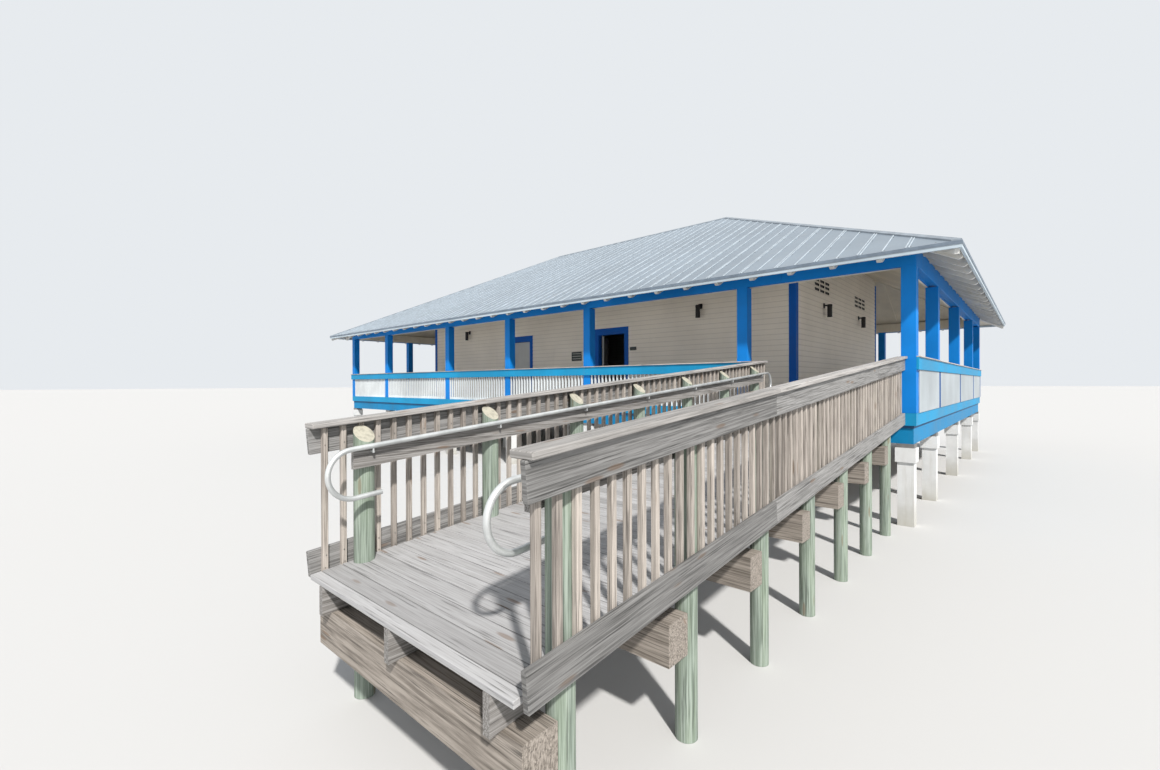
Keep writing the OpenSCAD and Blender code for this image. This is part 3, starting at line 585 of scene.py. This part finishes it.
def lap_wall(matrix, x0, x1, limit, holes):
    """Courses of tilted boards on a wall that faces -Y of the matrix."""
    row = 0
    z = LAP_START
    while z < limit - LAP_LEAST:
        h = min(EXPOSE + LAP_OVER, limit - z)
        levels = sorted({z, z + h} | {v for hole in holes for v in hole[2:] if z < v < z + h})
        for lo, hi in zip(levels, levels[1:]):
            up = (lo + hi) / 2 - z - h / 2
            for a, b in free_spans([(x0, x1)], holes, lo + TINY, hi - TINY):
                at = a
                joint = a + ((row * LAP_SHIFT) % BOARD_12 or BOARD_12)
                while at < b - TINY:
                    end = b if joint > b - END_LEAST else joint
                    m = (matrix @ Matrix.Translation(((at + end) / 2, -LAP_BACK, z + h / 2))
                         @ Matrix.Rotation(-LAP_TILT, 4, "X") @ Matrix.Translation((0, 0, up)))
                    laps.add(m, (end - at - LAP_END_GAP, LAP_T, hi - lo))
                    at, joint = end, end + BOARD_12
        z += EXPOSE
        row += 1


def grown(box, m):
    """A box of left, right, foot and top, larger by m all round."""
    return (box[0] - m, box[1] + m, box[2] - m, box[3] + m)


CEILING_T, HEAD_RISE = 0.013, 0.05
CORNER_CUT = CORNER + TRIM_GAP
BELOW_ROOF = ROOF_T + RAFTER_D + CEILING_T
FRONT_TOP = EDGE + (PORCH_D + EAVE - LAP_OUT) * PITCH - BELOW_ROOF
SIDE_TOP = EDGE + (PORCH_S + EAVE - LAP_OUT) * PITCH - BELOW_ROOF
CASING_OUT = CASING - JAMB
DOOR_BOX = (DOOR_X - CASING_OUT, DOOR_X + DOOR_W + CASING_OUT, FLOOR,
            FLOOR + DOOR_H + CASING_OUT + HEAD_RISE)
door_hole = grown(DOOR_BOX, TRIM_GAP)
mirror_hole = (-door_hole[1], -door_hole[0], door_hole[2], door_hole[3])
NOTICE = (DOOR_X - 1.084, DOOR_X - 0.664, FLOOR + 1.369, FLOOR + 1.655)
LABEL = (DOOR_X + DOOR_W + 0.172, DOOR_X + DOOR_W + 0.399, FLOOR + 1.608, FLOOR + 1.708)
LAMP_Z, LAMP_H, LAMP_OUT, LAMP_R, ARM = FLOOR + 2.348, 0.328, 0.155, 0.063, 0.042
LAMP_X, LAMP_Y = ROOM_X - 2.407, ROOM_Y - 2.186
PLATE_W, PLATE_H, PLATE_T = 0.118, 0.134, 0.027
PLATE_TOP = LAMP_Z + LAMP_H + ARM


def plate_of(x):
    """The lamp's wall plate at x, as left, right, foot and top."""
    return (x - PLATE_W / 2, x + PLATE_W / 2, PLATE_TOP - PLATE_H, PLATE_TOP)


front_holes = [grown(b, PLATE_GAP)
               for b in (NOTICE, LABEL, plate_of(-LAMP_X), plate_of(LAMP_X))]
lap_wall(Matrix.Translation((0, -ROOM_Y, 0)), -ROOM_X + CORNER_CUT, ROOM_X - CORNER_CUT, FRONT_TOP,
         [door_hole, mirror_hole] + front_holes)
lap_wall(turn(2) @ Matrix.Translation((0, -ROOM_Y, 0)), -ROOM_X + CORNER_CUT, ROOM_X - CORNER_CUT,
         FRONT_TOP, front_holes[2:])
VENT_W, VENT_H, VENT_STEP, SHIFT = 0.328, 0.067, 0.42, 0.11
VENT_GROUP, VENT_ROWS = ROOM_Y - 2.035, (3.003, 3.129, 3.247)
SIDES = ((1, 1), (3, -1))
vents = [(s * VENT_GROUP + j * VENT_STEP, FLOOR + z) for s in (-1, 1) for j in (-1, 0, 1)
         for z in VENT_ROWS]
for k, sign in SIDES:
    holes = [(y - VENT_W / 2, y + VENT_W / 2, z - VENT_H / 2, z + VENT_H / 2)
             for y, z in ((sign * (v[0] - SHIFT), v[1]) for v in vents)]
    holes += [grown(plate_of(sign * (y - SHIFT)), PLATE_GAP) for y in (-LAMP_Y, LAMP_Y)]
    lap_wall(turn(k) @ Matrix.Translation((0, -ROOM_X, 0)), -ROOM_Y + CORNER_CUT,
             ROOM_Y - CORNER_CUT, SIDE_TOP, holes)
laps.finish()


# Lamps: plate with screws, square arm with collars, turned body, lens
def wall_at(k, x):
    """Frame of a place x along wall k, which faces -Y of it."""
    return turn(k) @ Matrix.Translation((x, -ROOM_Y if k % 2 == 0 else -ROOM_X, 0))


def block(target, m, centre, size, bevel=None, tilt=0.0):
    """One box of even tone in the frame m, tilted about its own X."""
    target.add(m @ Matrix.Translation(centre) @ Matrix.Rotation(tilt, 4, "X"), size, 0.3, bevel)


lamps = Boards("lamp_bodies", dark_metal, bevel=0.002)
lenses = Boards("lamp_lenses", lens_glass)
screws = Boards("fitting_screws", bolt_metal)
FRONT_PLATE, FRONT_PLATE_Y = (0.086, 0.008, 0.100), -0.030
ARM_BAR, ARM_START, ARM_END, ARM_DROP = 0.034, 0.026, LAMP_OUT - 0.002, 0.005
COLLAR, COLLAR_Y = 0.014, -0.040
SCREW_X, SCREW_Y, SCREW_Z, PLATE_SCREW = 0.050, -0.0275, 0.056, (0.009, 0.003, 0.009)
r = LAMP_R
LAMP_BODY = (
    (0.0, 0.036), (r - 0.010, 0.036), (r - 0.009, 0.002), (r - 0.006, 0.0), (r, 0.0), (r, 0.014),
    (r - 0.004, 0.018), (r - 0.004, 0.112), (r - 0.001, 0.116), (r - 0.001, 0.126),
    (r - 0.004, 0.130), (r - 0.004, 0.262), (r, 0.266), (r, 0.314), (r - 0.006, 0.324),
    (r - 0.016, LAMP_H), (0.0, LAMP_H))
LAMP_LENS = ((0.0, 0.012), (r - 0.026, 0.013), (r - 0.012, 0.022), (r - 0.012, 0.034))
plate_z = PLATE_TOP - PLATE_H / 2
arm_z = LAMP_Z + LAMP_H - ARM_DROP - ARM / 2
lamp_places = [wall_at(k, x) for k in (0, 2) for x in (-LAMP_X, LAMP_X)]
lamp_places += [wall_at(k, sign * (y - SHIFT)) for k, sign in SIDES for y in (-LAMP_Y, LAMP_Y)]
for m in lamp_places:
    block(lamps, m, (0, -PLATE_T / 2, plate_z), (PLATE_W, PLATE_T, PLATE_H), 0.004)
    block(lamps, m, (0, FRONT_PLATE_Y, plate_z), FRONT_PLATE, 0.003)
    block(lamps, m, (0, -(ARM_START + ARM_END) / 2, arm_z),
          (ARM_BAR, ARM_END - ARM_START, ARM_BAR), 0.003)
    block(lamps, m, (0, COLLAR_Y, arm_z), (ARM, COLLAR, ARM), 0.003)
    axis = m @ Matrix.Translation((0, -LAMP_OUT, LAMP_Z))
    lamps.lathe(axis, LAMP_BODY)
    lenses.lathe(axis, LAMP_LENS)
    for dx in (-SCREW_X, SCREW_X):
        for dz in (-SCREW_Z, SCREW_Z):
            block(screws, m, (dx, SCREW_Y, plate_z + dz), PLATE_SCREW, 0.001)
lamps.finish("wall_lamps")
lenses.finish("wall_lamps")

# Notice board between the doors: frame, dark panel and pale strips. Small plate by the door.
FRAME_W, FRAME_T, NOTICE_T, STRIP_H, STRIP_T = 0.022, 0.028, 0.014, 0.017, 0.005
PANEL_Y, STRIP_Y, STRIP_SHORT, STRIP_Z = -0.008, -0.017, 0.05, (0.085, 0.005, -0.075)
LABEL_EDGE, LABEL_FACE_Y, LABEL_FACE_T, LABEL_SCREW_IN = 0.034, -0.0275, 0.003, 0.009
HEAD_Y, LABEL_SCREW, NOTICE_SCREW = -0.0285, (0.007, 0.002, 0.007), (0.008, 0.002, 0.008)
notice = Boards("notice_frame", dark_metal, bevel=0.003)
panel = Boards("notice_panels", notice_panel, bevel=0.001)
strips = Boards("notice_strips", notice_strip, bevel=0.002)
m = wall_at(0, 0)
nx, nw = (NOTICE[0] + NOTICE[1]) / 2, NOTICE[1] - NOTICE[0]
nz, nh = (NOTICE[2] + NOTICE[3]) / 2, NOTICE[3] - NOTICE[2]
lx, lw = (LABEL[0] + LABEL[1]) / 2, LABEL[1] - LABEL[0]
lz, lh = (LABEL[2] + LABEL[3]) / 2, LABEL[3] - LABEL[2]
for sign in (-1, 1):
    block(notice, m, (nx, -FRAME_T / 2, nz + sign * (nh - FRAME_W) / 2), (nw, FRAME_T, FRAME_W))
    block(notice, m, (nx + sign * (nw - FRAME_W) / 2, -FRAME_T / 2, nz),
          (FRAME_W, FRAME_T, nh - 2 * FRAME_W))
block(panel, m, (nx, PANEL_Y, nz), (nw - 2 * FRAME_W, NOTICE_T, nh - 2 * FRAME_W))
for up in STRIP_Z:
    block(strips, m, (nx, STRIP_Y, nz + up), (nw - STRIP_SHORT, STRIP_T, STRIP_H))
block(notice, m, (lx, -FRAME_T / 2, lz), (lw, FRAME_T, lh), 0.005)
block(panel, m, (lx, LABEL_FACE_Y, lz), (lw - LABEL_EDGE, LABEL_FACE_T, lh - LABEL_EDGE))
for dx in (-1, 1):
    for dz in (-1, 1):
        at = (lx + dx * (lw / 2 - LABEL_SCREW_IN), HEAD_Y, lz + dz * (lh / 2 - LABEL_SCREW_IN))
        block(screws, m, at, LABEL_SCREW)
        at = (nx + dx * (nw - FRAME_W) / 2, HEAD_Y, nz + dz * (nh - FRAME_W) / 2)
        block(screws, m, at, NOTICE_SCREW)
for done in (notice, panel, strips):
    done.finish("wall_plates")

# Louvres in the vents, in front of the dark backs
EDGE_STRIP, LOUVRE_DEPTH, LOUVRE_Y, BLADE_Y = 0.006, 0.026, -0.008, -0.005
BLADE, BLADE_TILT, BLADE_STEP = (VENT_W - 2 * EDGE_STRIP, 0.022, 0.002), 0.62, 0.018
louvres = Boards("vent_louvres", dark_metal)
for k, sign in SIDES:
    for vy, vz in vents:
        m = wall_at(k, sign * (vy - SHIFT))
        for dz in (-1, 1):
            block(louvres, m, (0, LOUVRE_Y, vz + dz * (VENT_H - EDGE_STRIP) / 2),
                  (VENT_W, LOUVRE_DEPTH, EDGE_STRIP))
            block(louvres, m, (dz * (VENT_W - EDGE_STRIP) / 2, LOUVRE_Y, vz),
                  (EDGE_STRIP, LOUVRE_DEPTH, VENT_H - 2 * EDGE_STRIP))
        for dz in (-BLADE_STEP, 0.0, BLADE_STEP):
            block(louvres, m, (0, BLADE_Y, vz + dz), BLADE, tilt=BLADE_TILT)
louvres.finish()

# Ceiling battens under the hips, and where the sheets of two sides meet
BATTEN_W, BATTEN_T, SIDE_BATTEN_W, BATTEN_END = 0.10, 0.034, 0.09, 0.03
HIP_SINK, PAST_WALL = 0.0375, 0.2
UNDER = BELOW_ROOF + 0.0015
FROM_WALL = 0.245
battens = Boards("ceiling_battens", cream, bevel=0.002)
d0, d1 = EAVE + POST + BATTEN_END, PORCH_S + EAVE - BATTEN_END
drop = UNDER + HIP_SINK * PITCH / math.sqrt(2)
for sx in (-1, 1):
    for sy in (-1, 1):
        a = Vector((sx * (EAVE_X - d0), sy * (EAVE_Y - d0), EDGE + d0 * PITCH - drop))
        b = Vector((sx * (EAVE_X - d1), sy * (EAVE_Y - d1), EDGE + d1 * PITCH - drop))
        along = (b - a).normalized()
        across = Vector((0, 0, 1)).cross(along).normalized()
        up = along.cross(across)
        m = Matrix((along, across, up)).transposed().to_4x4()
        m.translation = (a + b) / 2 - up * (BATTEN_T / 2)
        battens.add(m, ((b - a).length, BATTEN_W, BATTEN_T), 0.4)
for k in (0, 2):
    for x in (-ROOM_X - FROM_WALL, ROOM_X + FROM_WALL):
        battens.add(*sloped_bar(k, x, d0, PORCH_D + EAVE + PAST_WALL,
                                -UNDER * math.cos(SLOPE) - BATTEN_T, SIDE_BATTEN_W, BATTEN_T),
                    tone=0.5)
battens.finish()

# Porch floor boards
DECK_BOARD, DECK_FIRST, DECK_SHIFT, DECK_SPREAD = 0.139, 1.0, 1.63, 3.9
deck = Boards("porch_boards", deck_wood)
y = -HALF_D + BOARD
row = 0
while y < HALF_D - BOARD - SLIVER:
    w = min(DECK_BOARD, HALF_D - BOARD - y)
    deck.run((-HALF_W + BOARD, y, FLOOR - BOARD), (HALF_W - BOARD, y + w, FLOOR), BOARD_16,
             start=DECK_FIRST + (row * DECK_SHIFT) % DECK_SPREAD)
    y += DECK_PITCH
    row += 1
deck.finish("floor_deck")

# Porch posts: four wrap boards round a core, side boards set in
posts = Boards("post_wraps", blue, bevel=0.003)
core = Boards("post_cores", dark_metal)
WRAP_T, REVEAL, CORE_GAP, CORE_UP, FOOT_GAP = 0.019, 0.003, 0.01, 0.02, 0.001
HALF_POST = POST / 2
ROW_Y = HALF_D - HALF_POST
places = [(x, sy * ROW_Y) for x in POST_X for sy in (-1, 1)]
places += [(sx * (HALF_W - HALF_POST), y) for sx in (-1, 1) for y in SIDE_Y]
for x, y in places:
    z0, z1 = FLOOR + RIM_UP + FOOT_GAP, FLOOR + BEAM_Z
    a = Vector((max(x - HALF_POST, -HALF_W + BOARD), max(y - HALF_POST, -HALF_D + BOARD), FLOOR))
    b = Vector((min(x + HALF_POST, HALF_W - BOARD), min(y + HALF_POST, HALF_D - BOARD), z0))
    posts.span(a, b)
    inside = HALF_POST - WRAP_T
    for lo, hi in ((-HALF_POST, -inside), (inside, HALF_POST)):
        posts.span((x - HALF_POST, y + lo, z0), (x + HALF_POST, y + hi, z1))
        lo, hi = max(lo, REVEAL - HALF_POST), min(hi, HALF_POST - REVEAL)
        posts.span((x + lo, y - inside, z0), (x + hi, y + inside, z1))
    inside -= CORE_GAP
    core.span((x - inside, y - inside, z0 + CORE_UP), (x + inside, y + inside, z1))
posts.finish("porch_posts")
core.finish()

# Porch beams: face boards outside and inside, and a recessed board below
beams = Boards("beam_boards", blue, bevel=0.003)
inner = Boards("beam_inner_boards", cream, bevel=0.003)
BEAM_FOOT, BEAM_TOP = FLOOR + BEAM_Z, FLOOR + BEAM_Z + BEAM_H
FACE_T, TOP_STRIP, STRIP_BACK, STRIP_GAP = 0.03, 0.085, 0.004, 0.002
SOLE_UP, SOLE_TOP, SOLE_Y0, SOLE_Y1 = 0.015, 0.042, 0.032, 0.064
MIDDLE_UP, MIDDLE_TOP, MIDDLE_Y = 0.028, 0.05, 0.066
OUTER_END, MIDDLE_END, INNER_END = 0.05, 0.08, 0.17
MITRE, BEAM_JOINT, LAST_LEAST = 0.031, 0.003, 1.5


def beam_board(target, matrix, half, start, y0, y1, z0, z1, end_gap):
    """One board of a beam, cut into lengths, with a gap at both of its ends."""
    at = -half + end_gap
    cut = -half + start
    stop = half - end_gap
    while at < stop - TINY:
        end = stop if cut > stop - LAST_LEAST else cut
        m = matrix @ Matrix.Translation(((at + end) / 2, (y0 + y1) / 2, (z0 + z1) / 2))
        target.add(m, (end - at - BEAM_JOINT, y1 - y0, z1 - z0))
        at, cut = end, end + BOARD_16


def beam(matrix, half, start):
    """One box beam that runs along X with its outer face at y = 0."""
    strip = BEAM_TOP - TOP_STRIP
    sole, sole_top = BEAM_FOOT + SOLE_UP, BEAM_FOOT + SOLE_TOP
    middle, middle_top = BEAM_FOOT + MIDDLE_UP, BEAM_FOOT + MIDDLE_TOP
    for target, y0, y1, z0, z1, end_gap in (
            (beams, 0.0, FACE_T, BEAM_FOOT, strip, 0.0),
            (beams, STRIP_BACK, FACE_T, strip + STRIP_GAP, BEAM_TOP, 0.0),
            (beams, SOLE_Y0, SOLE_Y1, sole, sole_top, OUTER_END),
            (beams, MIDDLE_Y, POST - MIDDLE_Y, middle, middle_top, MIDDLE_END),
            (beams, POST - SOLE_Y1, POST - SOLE_Y0, sole, sole_top, INNER_END),
            (inner, POST - FACE_T, POST, BEAM_FOOT, BEAM_TOP, POST)):
        beam_board(target, matrix, half, start, y0, y1, z0, z1, end_gap)


beam(Matrix.Translation((0, -HALF_D, 0)), HALF_W, 3.4)
beam(turn(2) @ Matrix.Translation((0, -HALF_D, 0)), HALF_W, 2.6)
beam(turn(1) @ Matrix.Translation((0, -HALF_W, 0)), HALF_D - MITRE, 3.0)
beam(turn(3) @ Matrix.Translation((0, -HALF_W, 0)), HALF_D - MITRE, 4.1)
beams.finish("porch_beams")
inner.finish("porch_beams")

# Side panels: grooved sheets with dark joints over the posts, whose boards are painted dark navy as
# painted shade over the posts' own blue
panels = Boards("side_panel_boards", panel_paint, bevel=0.002)
faces = Boards("side_post_boards", shaded_joint_paint, bevel=0.002)
PANEL_W, PANEL_T, POST_FACE_T = 0.2032, 0.017, 0.0165
JOINT, GROOVE, PANEL_GAP = 0.006, 0.0024, 0.002
CAP_TOP = FLOOR + RAIL_H
CAP_FOOT = CAP_TOP - RAIL_CAP_T
RAIL_FOOT = CAP_FOOT - RAIL_BOARD
PANEL_FOOT, PANEL_TOP = FLOOR + RIM_UP + PANEL_GAP, RAIL_FOOT - PANEL_GAP


def outside(sign, out):
    """From the side of the porch outwards, the lesser x first."""
    return sorted((sign * HALF_W, sign * (HALF_W + out)))


for sign in (-1, 1):
    ys = [-HALF_D + HALF_POST] + SIDE_Y + [HALF_D - HALF_POST]
    x0, x1 = outside(sign, POST_FACE_T)
    for y in ys[1:]:
        faces.span((x0, y - HALF_POST, PANEL_FOOT), (x1, y + HALF_POST, PANEL_TOP))
    x0, x1 = outside(sign, PANEL_T)
    for a, b in zip(ys, ys[1:]):
        a, b = a + HALF_POST, b - HALF_POST
        n = max(1, round((b - a) / PANEL_W))
        w = (b - a - JOINT) / n
        for i in range(n):
            y = a + JOINT / 2 + i * w
            panels.span((x0, y + GROOVE / 2, PANEL_FOOT), (x1, y + w - GROOVE / 2, PANEL_TOP))
panels.finish("side_panels")
faces.finish("side_panels")

# Rail boards and their caps, in lengths that meet at the posts
rails = Boards("rail_board_lengths", sunlit_rail_blue, bevel=0.003)
caps = Boards("rail_cap_lengths", rail_cap_wood, bevel=0.003)
RAIL_END = RAMP_LEFT - PICKET / 2 - BOARD - 0.050
LENGTH_GAP = 0.0015
for lengths, out, z0, z1 in ((rails, BOARD, RAIL_FOOT, CAP_FOOT), (caps, CAP_W, CAP_FOOT, CAP_TOP)):
    xs = [-HALF_W - out] + POST_X[1:-1] + [HALF_W + out]
    for a, b in zip(xs, xs[1:]):
        lengths.span((a + (LENGTH_GAP if a > -HALF_W else 0), -HALF_D - out, z0),
                     (min(b, RAIL_END) - LENGTH_GAP, -HALF_D, z1))
    for a, b in zip(xs, xs[1:]):
        lengths.span((a, HALF_D, z0), (b - BOARD_GAP, HALF_D + out, z1))
    ys = [-HALF_D] + SIDE_Y + [HALF_D]
    for sign in (-1, 1):
        x0, x1 = outside(sign, out)
        for a, b in zip(ys, ys[1:]):
            gap = BOARD_GAP / 2 if a > -HALF_D or sign > 0 else BOARD_GAP
            lengths.span((x0, a + gap, z0), (x1, b - BOARD_GAP, z1))
rails.finish("rail_boards")
caps.finish("rail_caps")

# Nails in the rails at each post
NAIL_SIDE, NAIL, NAIL_OUT = 0.05, 0.010, 0.003
NAIL_Z = (RAIL_FOOT + NAIL_SIDE, CAP_FOOT - NAIL_SIDE)
for x in POST_X[1:-1]:
    for sy in (-1, 1):
        if sy > 0 or x < RAIL_END - 0.1:
            for dx in (-NAIL_SIDE, NAIL_SIDE):
                for z in NAIL_Z:
                    screws.add(Matrix.Translation((x + dx, sy * (HALF_D + BOARD + HEAD_OUT), z)),
                               (NAIL, NAIL_OUT, NAIL), 0.3, 0.001)
for sign in (-1, 1):
    for y in SIDE_Y:
        for dy in (-NAIL_SIDE, NAIL_SIDE):
            for z in NAIL_Z:
                screws.add(Matrix.Translation((sign * (HALF_W + BOARD + HEAD_OUT), y + dy, z)),
                           (NAIL_OUT, NAIL, NAIL), 0.3, 0.001)
screws.finish()

# Ramp deck boards across the ramp
RAMP_BOARD, RAMP_EDGE, RAMP_UNEVEN = 0.1385, 0.044, 0.012
ramp = Boards("ramp_deck_boards", ramp_deck_wood, bevel=0.003)
along = 0.0
total = RAMP_RUN / math.cos(RAMP_ANGLE)
while along < total - SLIVER:
    w = min(RAMP_BOARD, total - along)
    m = (Matrix.Translation((0, -HALF_D, FLOOR)) @ Matrix.Rotation(RAMP_ANGLE, 4, "X")
         @ Matrix.Translation(((RAMP_LEFT + RAMP_RIGHT) / 2, -(along + w / 2), -BOARD / 2)))
    ramp.add(m, (RAMP_W - RAMP_EDGE - rng.uniform(0, RAMP_UNEVEN), w, BOARD))
    along += DECK_PITCH
ramp.finish("ramp_deck")


# Ramp railings: caps, side boards, pickets and screws
def sloped(x0, x1, y0, y1, z0, z1):
    """Matrix and size of a board along the ramp, heights above its deck."""
    c = (y0 + y1) / 2
    m = (Matrix.Translation(((x0 + x1) / 2, c, ramp_z(c) + (z0 + z1) / 2))
         @ Matrix.Rotation(RAMP_ANGLE, 4, "X") @ Matrix.Rotation(math.pi / 2, 4, "Z"))
    return m, ((y1 - y0) / math.cos(RAMP_ANGLE), abs(x1 - x0), (z1 - z0) * math.cos(RAMP_ANGLE))


HALF_PICKET = PICKET / 2
CAP_T, CAP_ACROSS, CAP_OUT = 0.038, 0.15, HALF_PICKET + BOARD + 0.035
TOP, UPPER = RAMP_H, RAMP_H - CAP_T
RAIL_START, RAMP_START, PICKET_START, PICKET_END = 0.002, 0.007, 0.05, 0.06
CAP_GAP, PICKET_UP, PICKET_DOWN, UNEVEN = 0.003, 0.012, 0.004, 0.004
PICKET_SCREW = (0.003, 0.009, 0.009)
SCREW_HEIGHTS = (TOP - 0.08, TOP - 0.17, RAIL_LOW + 0.05, RAIL_LOW + 0.14)
for side, x0, sign in (("left", RAMP_LEFT, 1), ("right", RAMP_RIGHT, -1)):
    rail = Boards("ramp_%s_rail_boards" % side, shaded_ramp_wood, bevel=0.004)
    tops = Boards("ramp_%s_caps" % side, cap_wood, bevel=0.005)
    slats = Boards("ramp_%s_pickets" % side, picket_wood, bevel=0.003)
    screws = Boards("ramp_%s_screws" % side, bolt_metal)
    ys = [-HALF_D - RAIL_START, RAMP_POST_Y[1], RAMP_POST_Y[4], -HALF_D - RAMP_RUN + RAMP_START]
    outer, inner_side = x0 - sign * (HALF_PICKET + BOARD), x0 - sign * HALF_PICKET
    for a, b in zip(ys, ys[1:]):
        tops.add(*sloped(x0 - sign * CAP_OUT, x0 + sign * (CAP_ACROSS - CAP_OUT), b + CAP_GAP,
                         a, UPPER, TOP))
        rail.add(*sloped(outer, inner_side, b + BOARD_GAP, a, UPPER - SIDE_BOARD, UPPER))
        rail.add(*sloped(outer, inner_side, b + BOARD_GAP, a, RAIL_LOW, RAIL_LOW + SIDE_BOARD))
    n = int((RAMP_RUN - PICKET_END - PICKET) / PICKET_PITCH)
    for i in range(n + 1):
        y = -HALF_D - RAIL_START - PICKET_START - i * PICKET_PITCH - HALF_PICKET
        z0, z1 = ramp_z(y) + RAIL_LOW + PICKET_UP, ramp_z(y) + UPPER - PICKET_DOWN
        slats.span((x0 - HALF_PICKET, y - HALF_PICKET, z0 + rng.uniform(-UNEVEN, UNEVEN)),
                   (x0 + HALF_PICKET, y + HALF_PICKET, z1))
        for dz in SCREW_HEIGHTS:
            at = (x0 + sign * (HALF_PICKET + HEAD_OUT), y + rng.uniform(-UNEVEN, UNEVEN),
                  ramp_z(y) + dz)
            screws.add(Matrix.Translation(at), PICKET_SCREW)
    for done in (rail, tops, slats):
        done.finish("ramp_%s_railing" % side)
    screws.finish()

# Stage, light and camera
STAGE_HALF, STAGE_LOW, STAGE_PALE = 400.0, 0.002, (0.56, 0.56, 0.555)
bm = bmesh.new()
bmesh.ops.create_grid(bm, x_segments=1, y_segments=1, size=STAGE_HALF)
mesh = bpy.data.meshes.new("floor")
bm.to_mesh(mesh)
bm.free()
floor = bpy.data.objects.new("floor", mesh)
mesh.materials.append(Finish("floor_pale").done(Base_Color=STAGE_PALE, Roughness=0.9))
bpy.context.scene.collection.objects.link(floor)
floor.location.z = -STAGE_LOW

SKY, SKY_STRENGTH, BACKDROP = (0.86, 0.90, 0.96), 0.51, (0.80, 0.83, 0.86)
world = bpy.data.worlds.new("studio")
bpy.context.scene.world = world
world.use_nodes = True
air = Nodes(world.node_tree)
bg = next(n for n in air.tree.nodes if n.type == "BACKGROUND")
out = next(n for n in air.tree.nodes if n.type == "OUTPUT_WORLD")
air.put(bg.inputs["Color"], SKY)
air.put(bg.inputs["Strength"], SKY_STRENGTH)
rays = {r.sock.name: r for r in air.node("LightPath").siblings()}
seen = rays["Is Camera Ray"].larger(rays["Is Glossy Ray"]).larger(rays["Is Transmission Ray"])
backdrop = air.node("Background", Color=BACKDROP)
daylight = Sock(air, bg.outputs[0])
shown = air.node("MixShader", places=((0, seen), (1, daylight), (2, backdrop)))
air.put(out.inputs["Surface"], shown)


def sun(name, energy, angle, direction, colour=(1, 1, 1)):
    """A sun lamp that shines along the direction."""
    light = bpy.data.lights.new(name, "SUN")
    light.energy = energy
    light.angle = angle
    light.color = colour
    lamp = bpy.data.objects.new(name, light)
    bpy.context.scene.collection.objects.link(lamp)
    lamp.rotation_euler = (-Vector(direction)).to_track_quat("Z", "Y").to_euler()


WARM = (1.0, 0.97, 0.93)
sun("key", 4.9, 0.05, (-0.873, 0.551, -1.0), WARM)
sun("fill", 0.35, 1.2, (0.5, 0.75, -0.35))
sun("side_fill", 0.45, 1.2, (-0.9, 0.25, -0.12), WARM)

PHOTO_W, FOCAL_PX, SENSOR = 1160, 510.0, 36.0
YAW, TILT, ROLL = math.radians(41.773), math.radians(-0.145), math.radians(-0.181)
CAMERA_AT = (HALF_W + 1.4285, -HALF_D - 9.7095, FLOOR + 0.644)
forward = Vector((-math.sin(YAW) * math.cos(TILT), math.cos(YAW) * math.cos(TILT), math.sin(TILT)))
right = Vector((math.cos(YAW), math.sin(YAW), 0))
up = right.cross(forward)
rolled_right = right * math.cos(ROLL) + up * math.sin(ROLL)
rolled_up = up * math.cos(ROLL) - right * math.sin(ROLL)
cam_data = bpy.data.cameras.new("camera")
cam_data.sensor_width = SENSOR
cam_data.sensor_fit = "HORIZONTAL"
cam_data.lens = FOCAL_PX / PHOTO_W * SENSOR
cam_data.clip_end = 2000.0
camera = bpy.data.objects.new("camera", cam_data)
bpy.context.scene.collection.objects.link(camera)
facing = Matrix((rolled_right, rolled_up, -forward)).transposed().to_4x4()
camera.matrix_world = Matrix.Translation(CAMERA_AT) @ facing
bpy.context.scene.camera = camera
bpy.context.scene.view_settings.view_transform = "Standard"
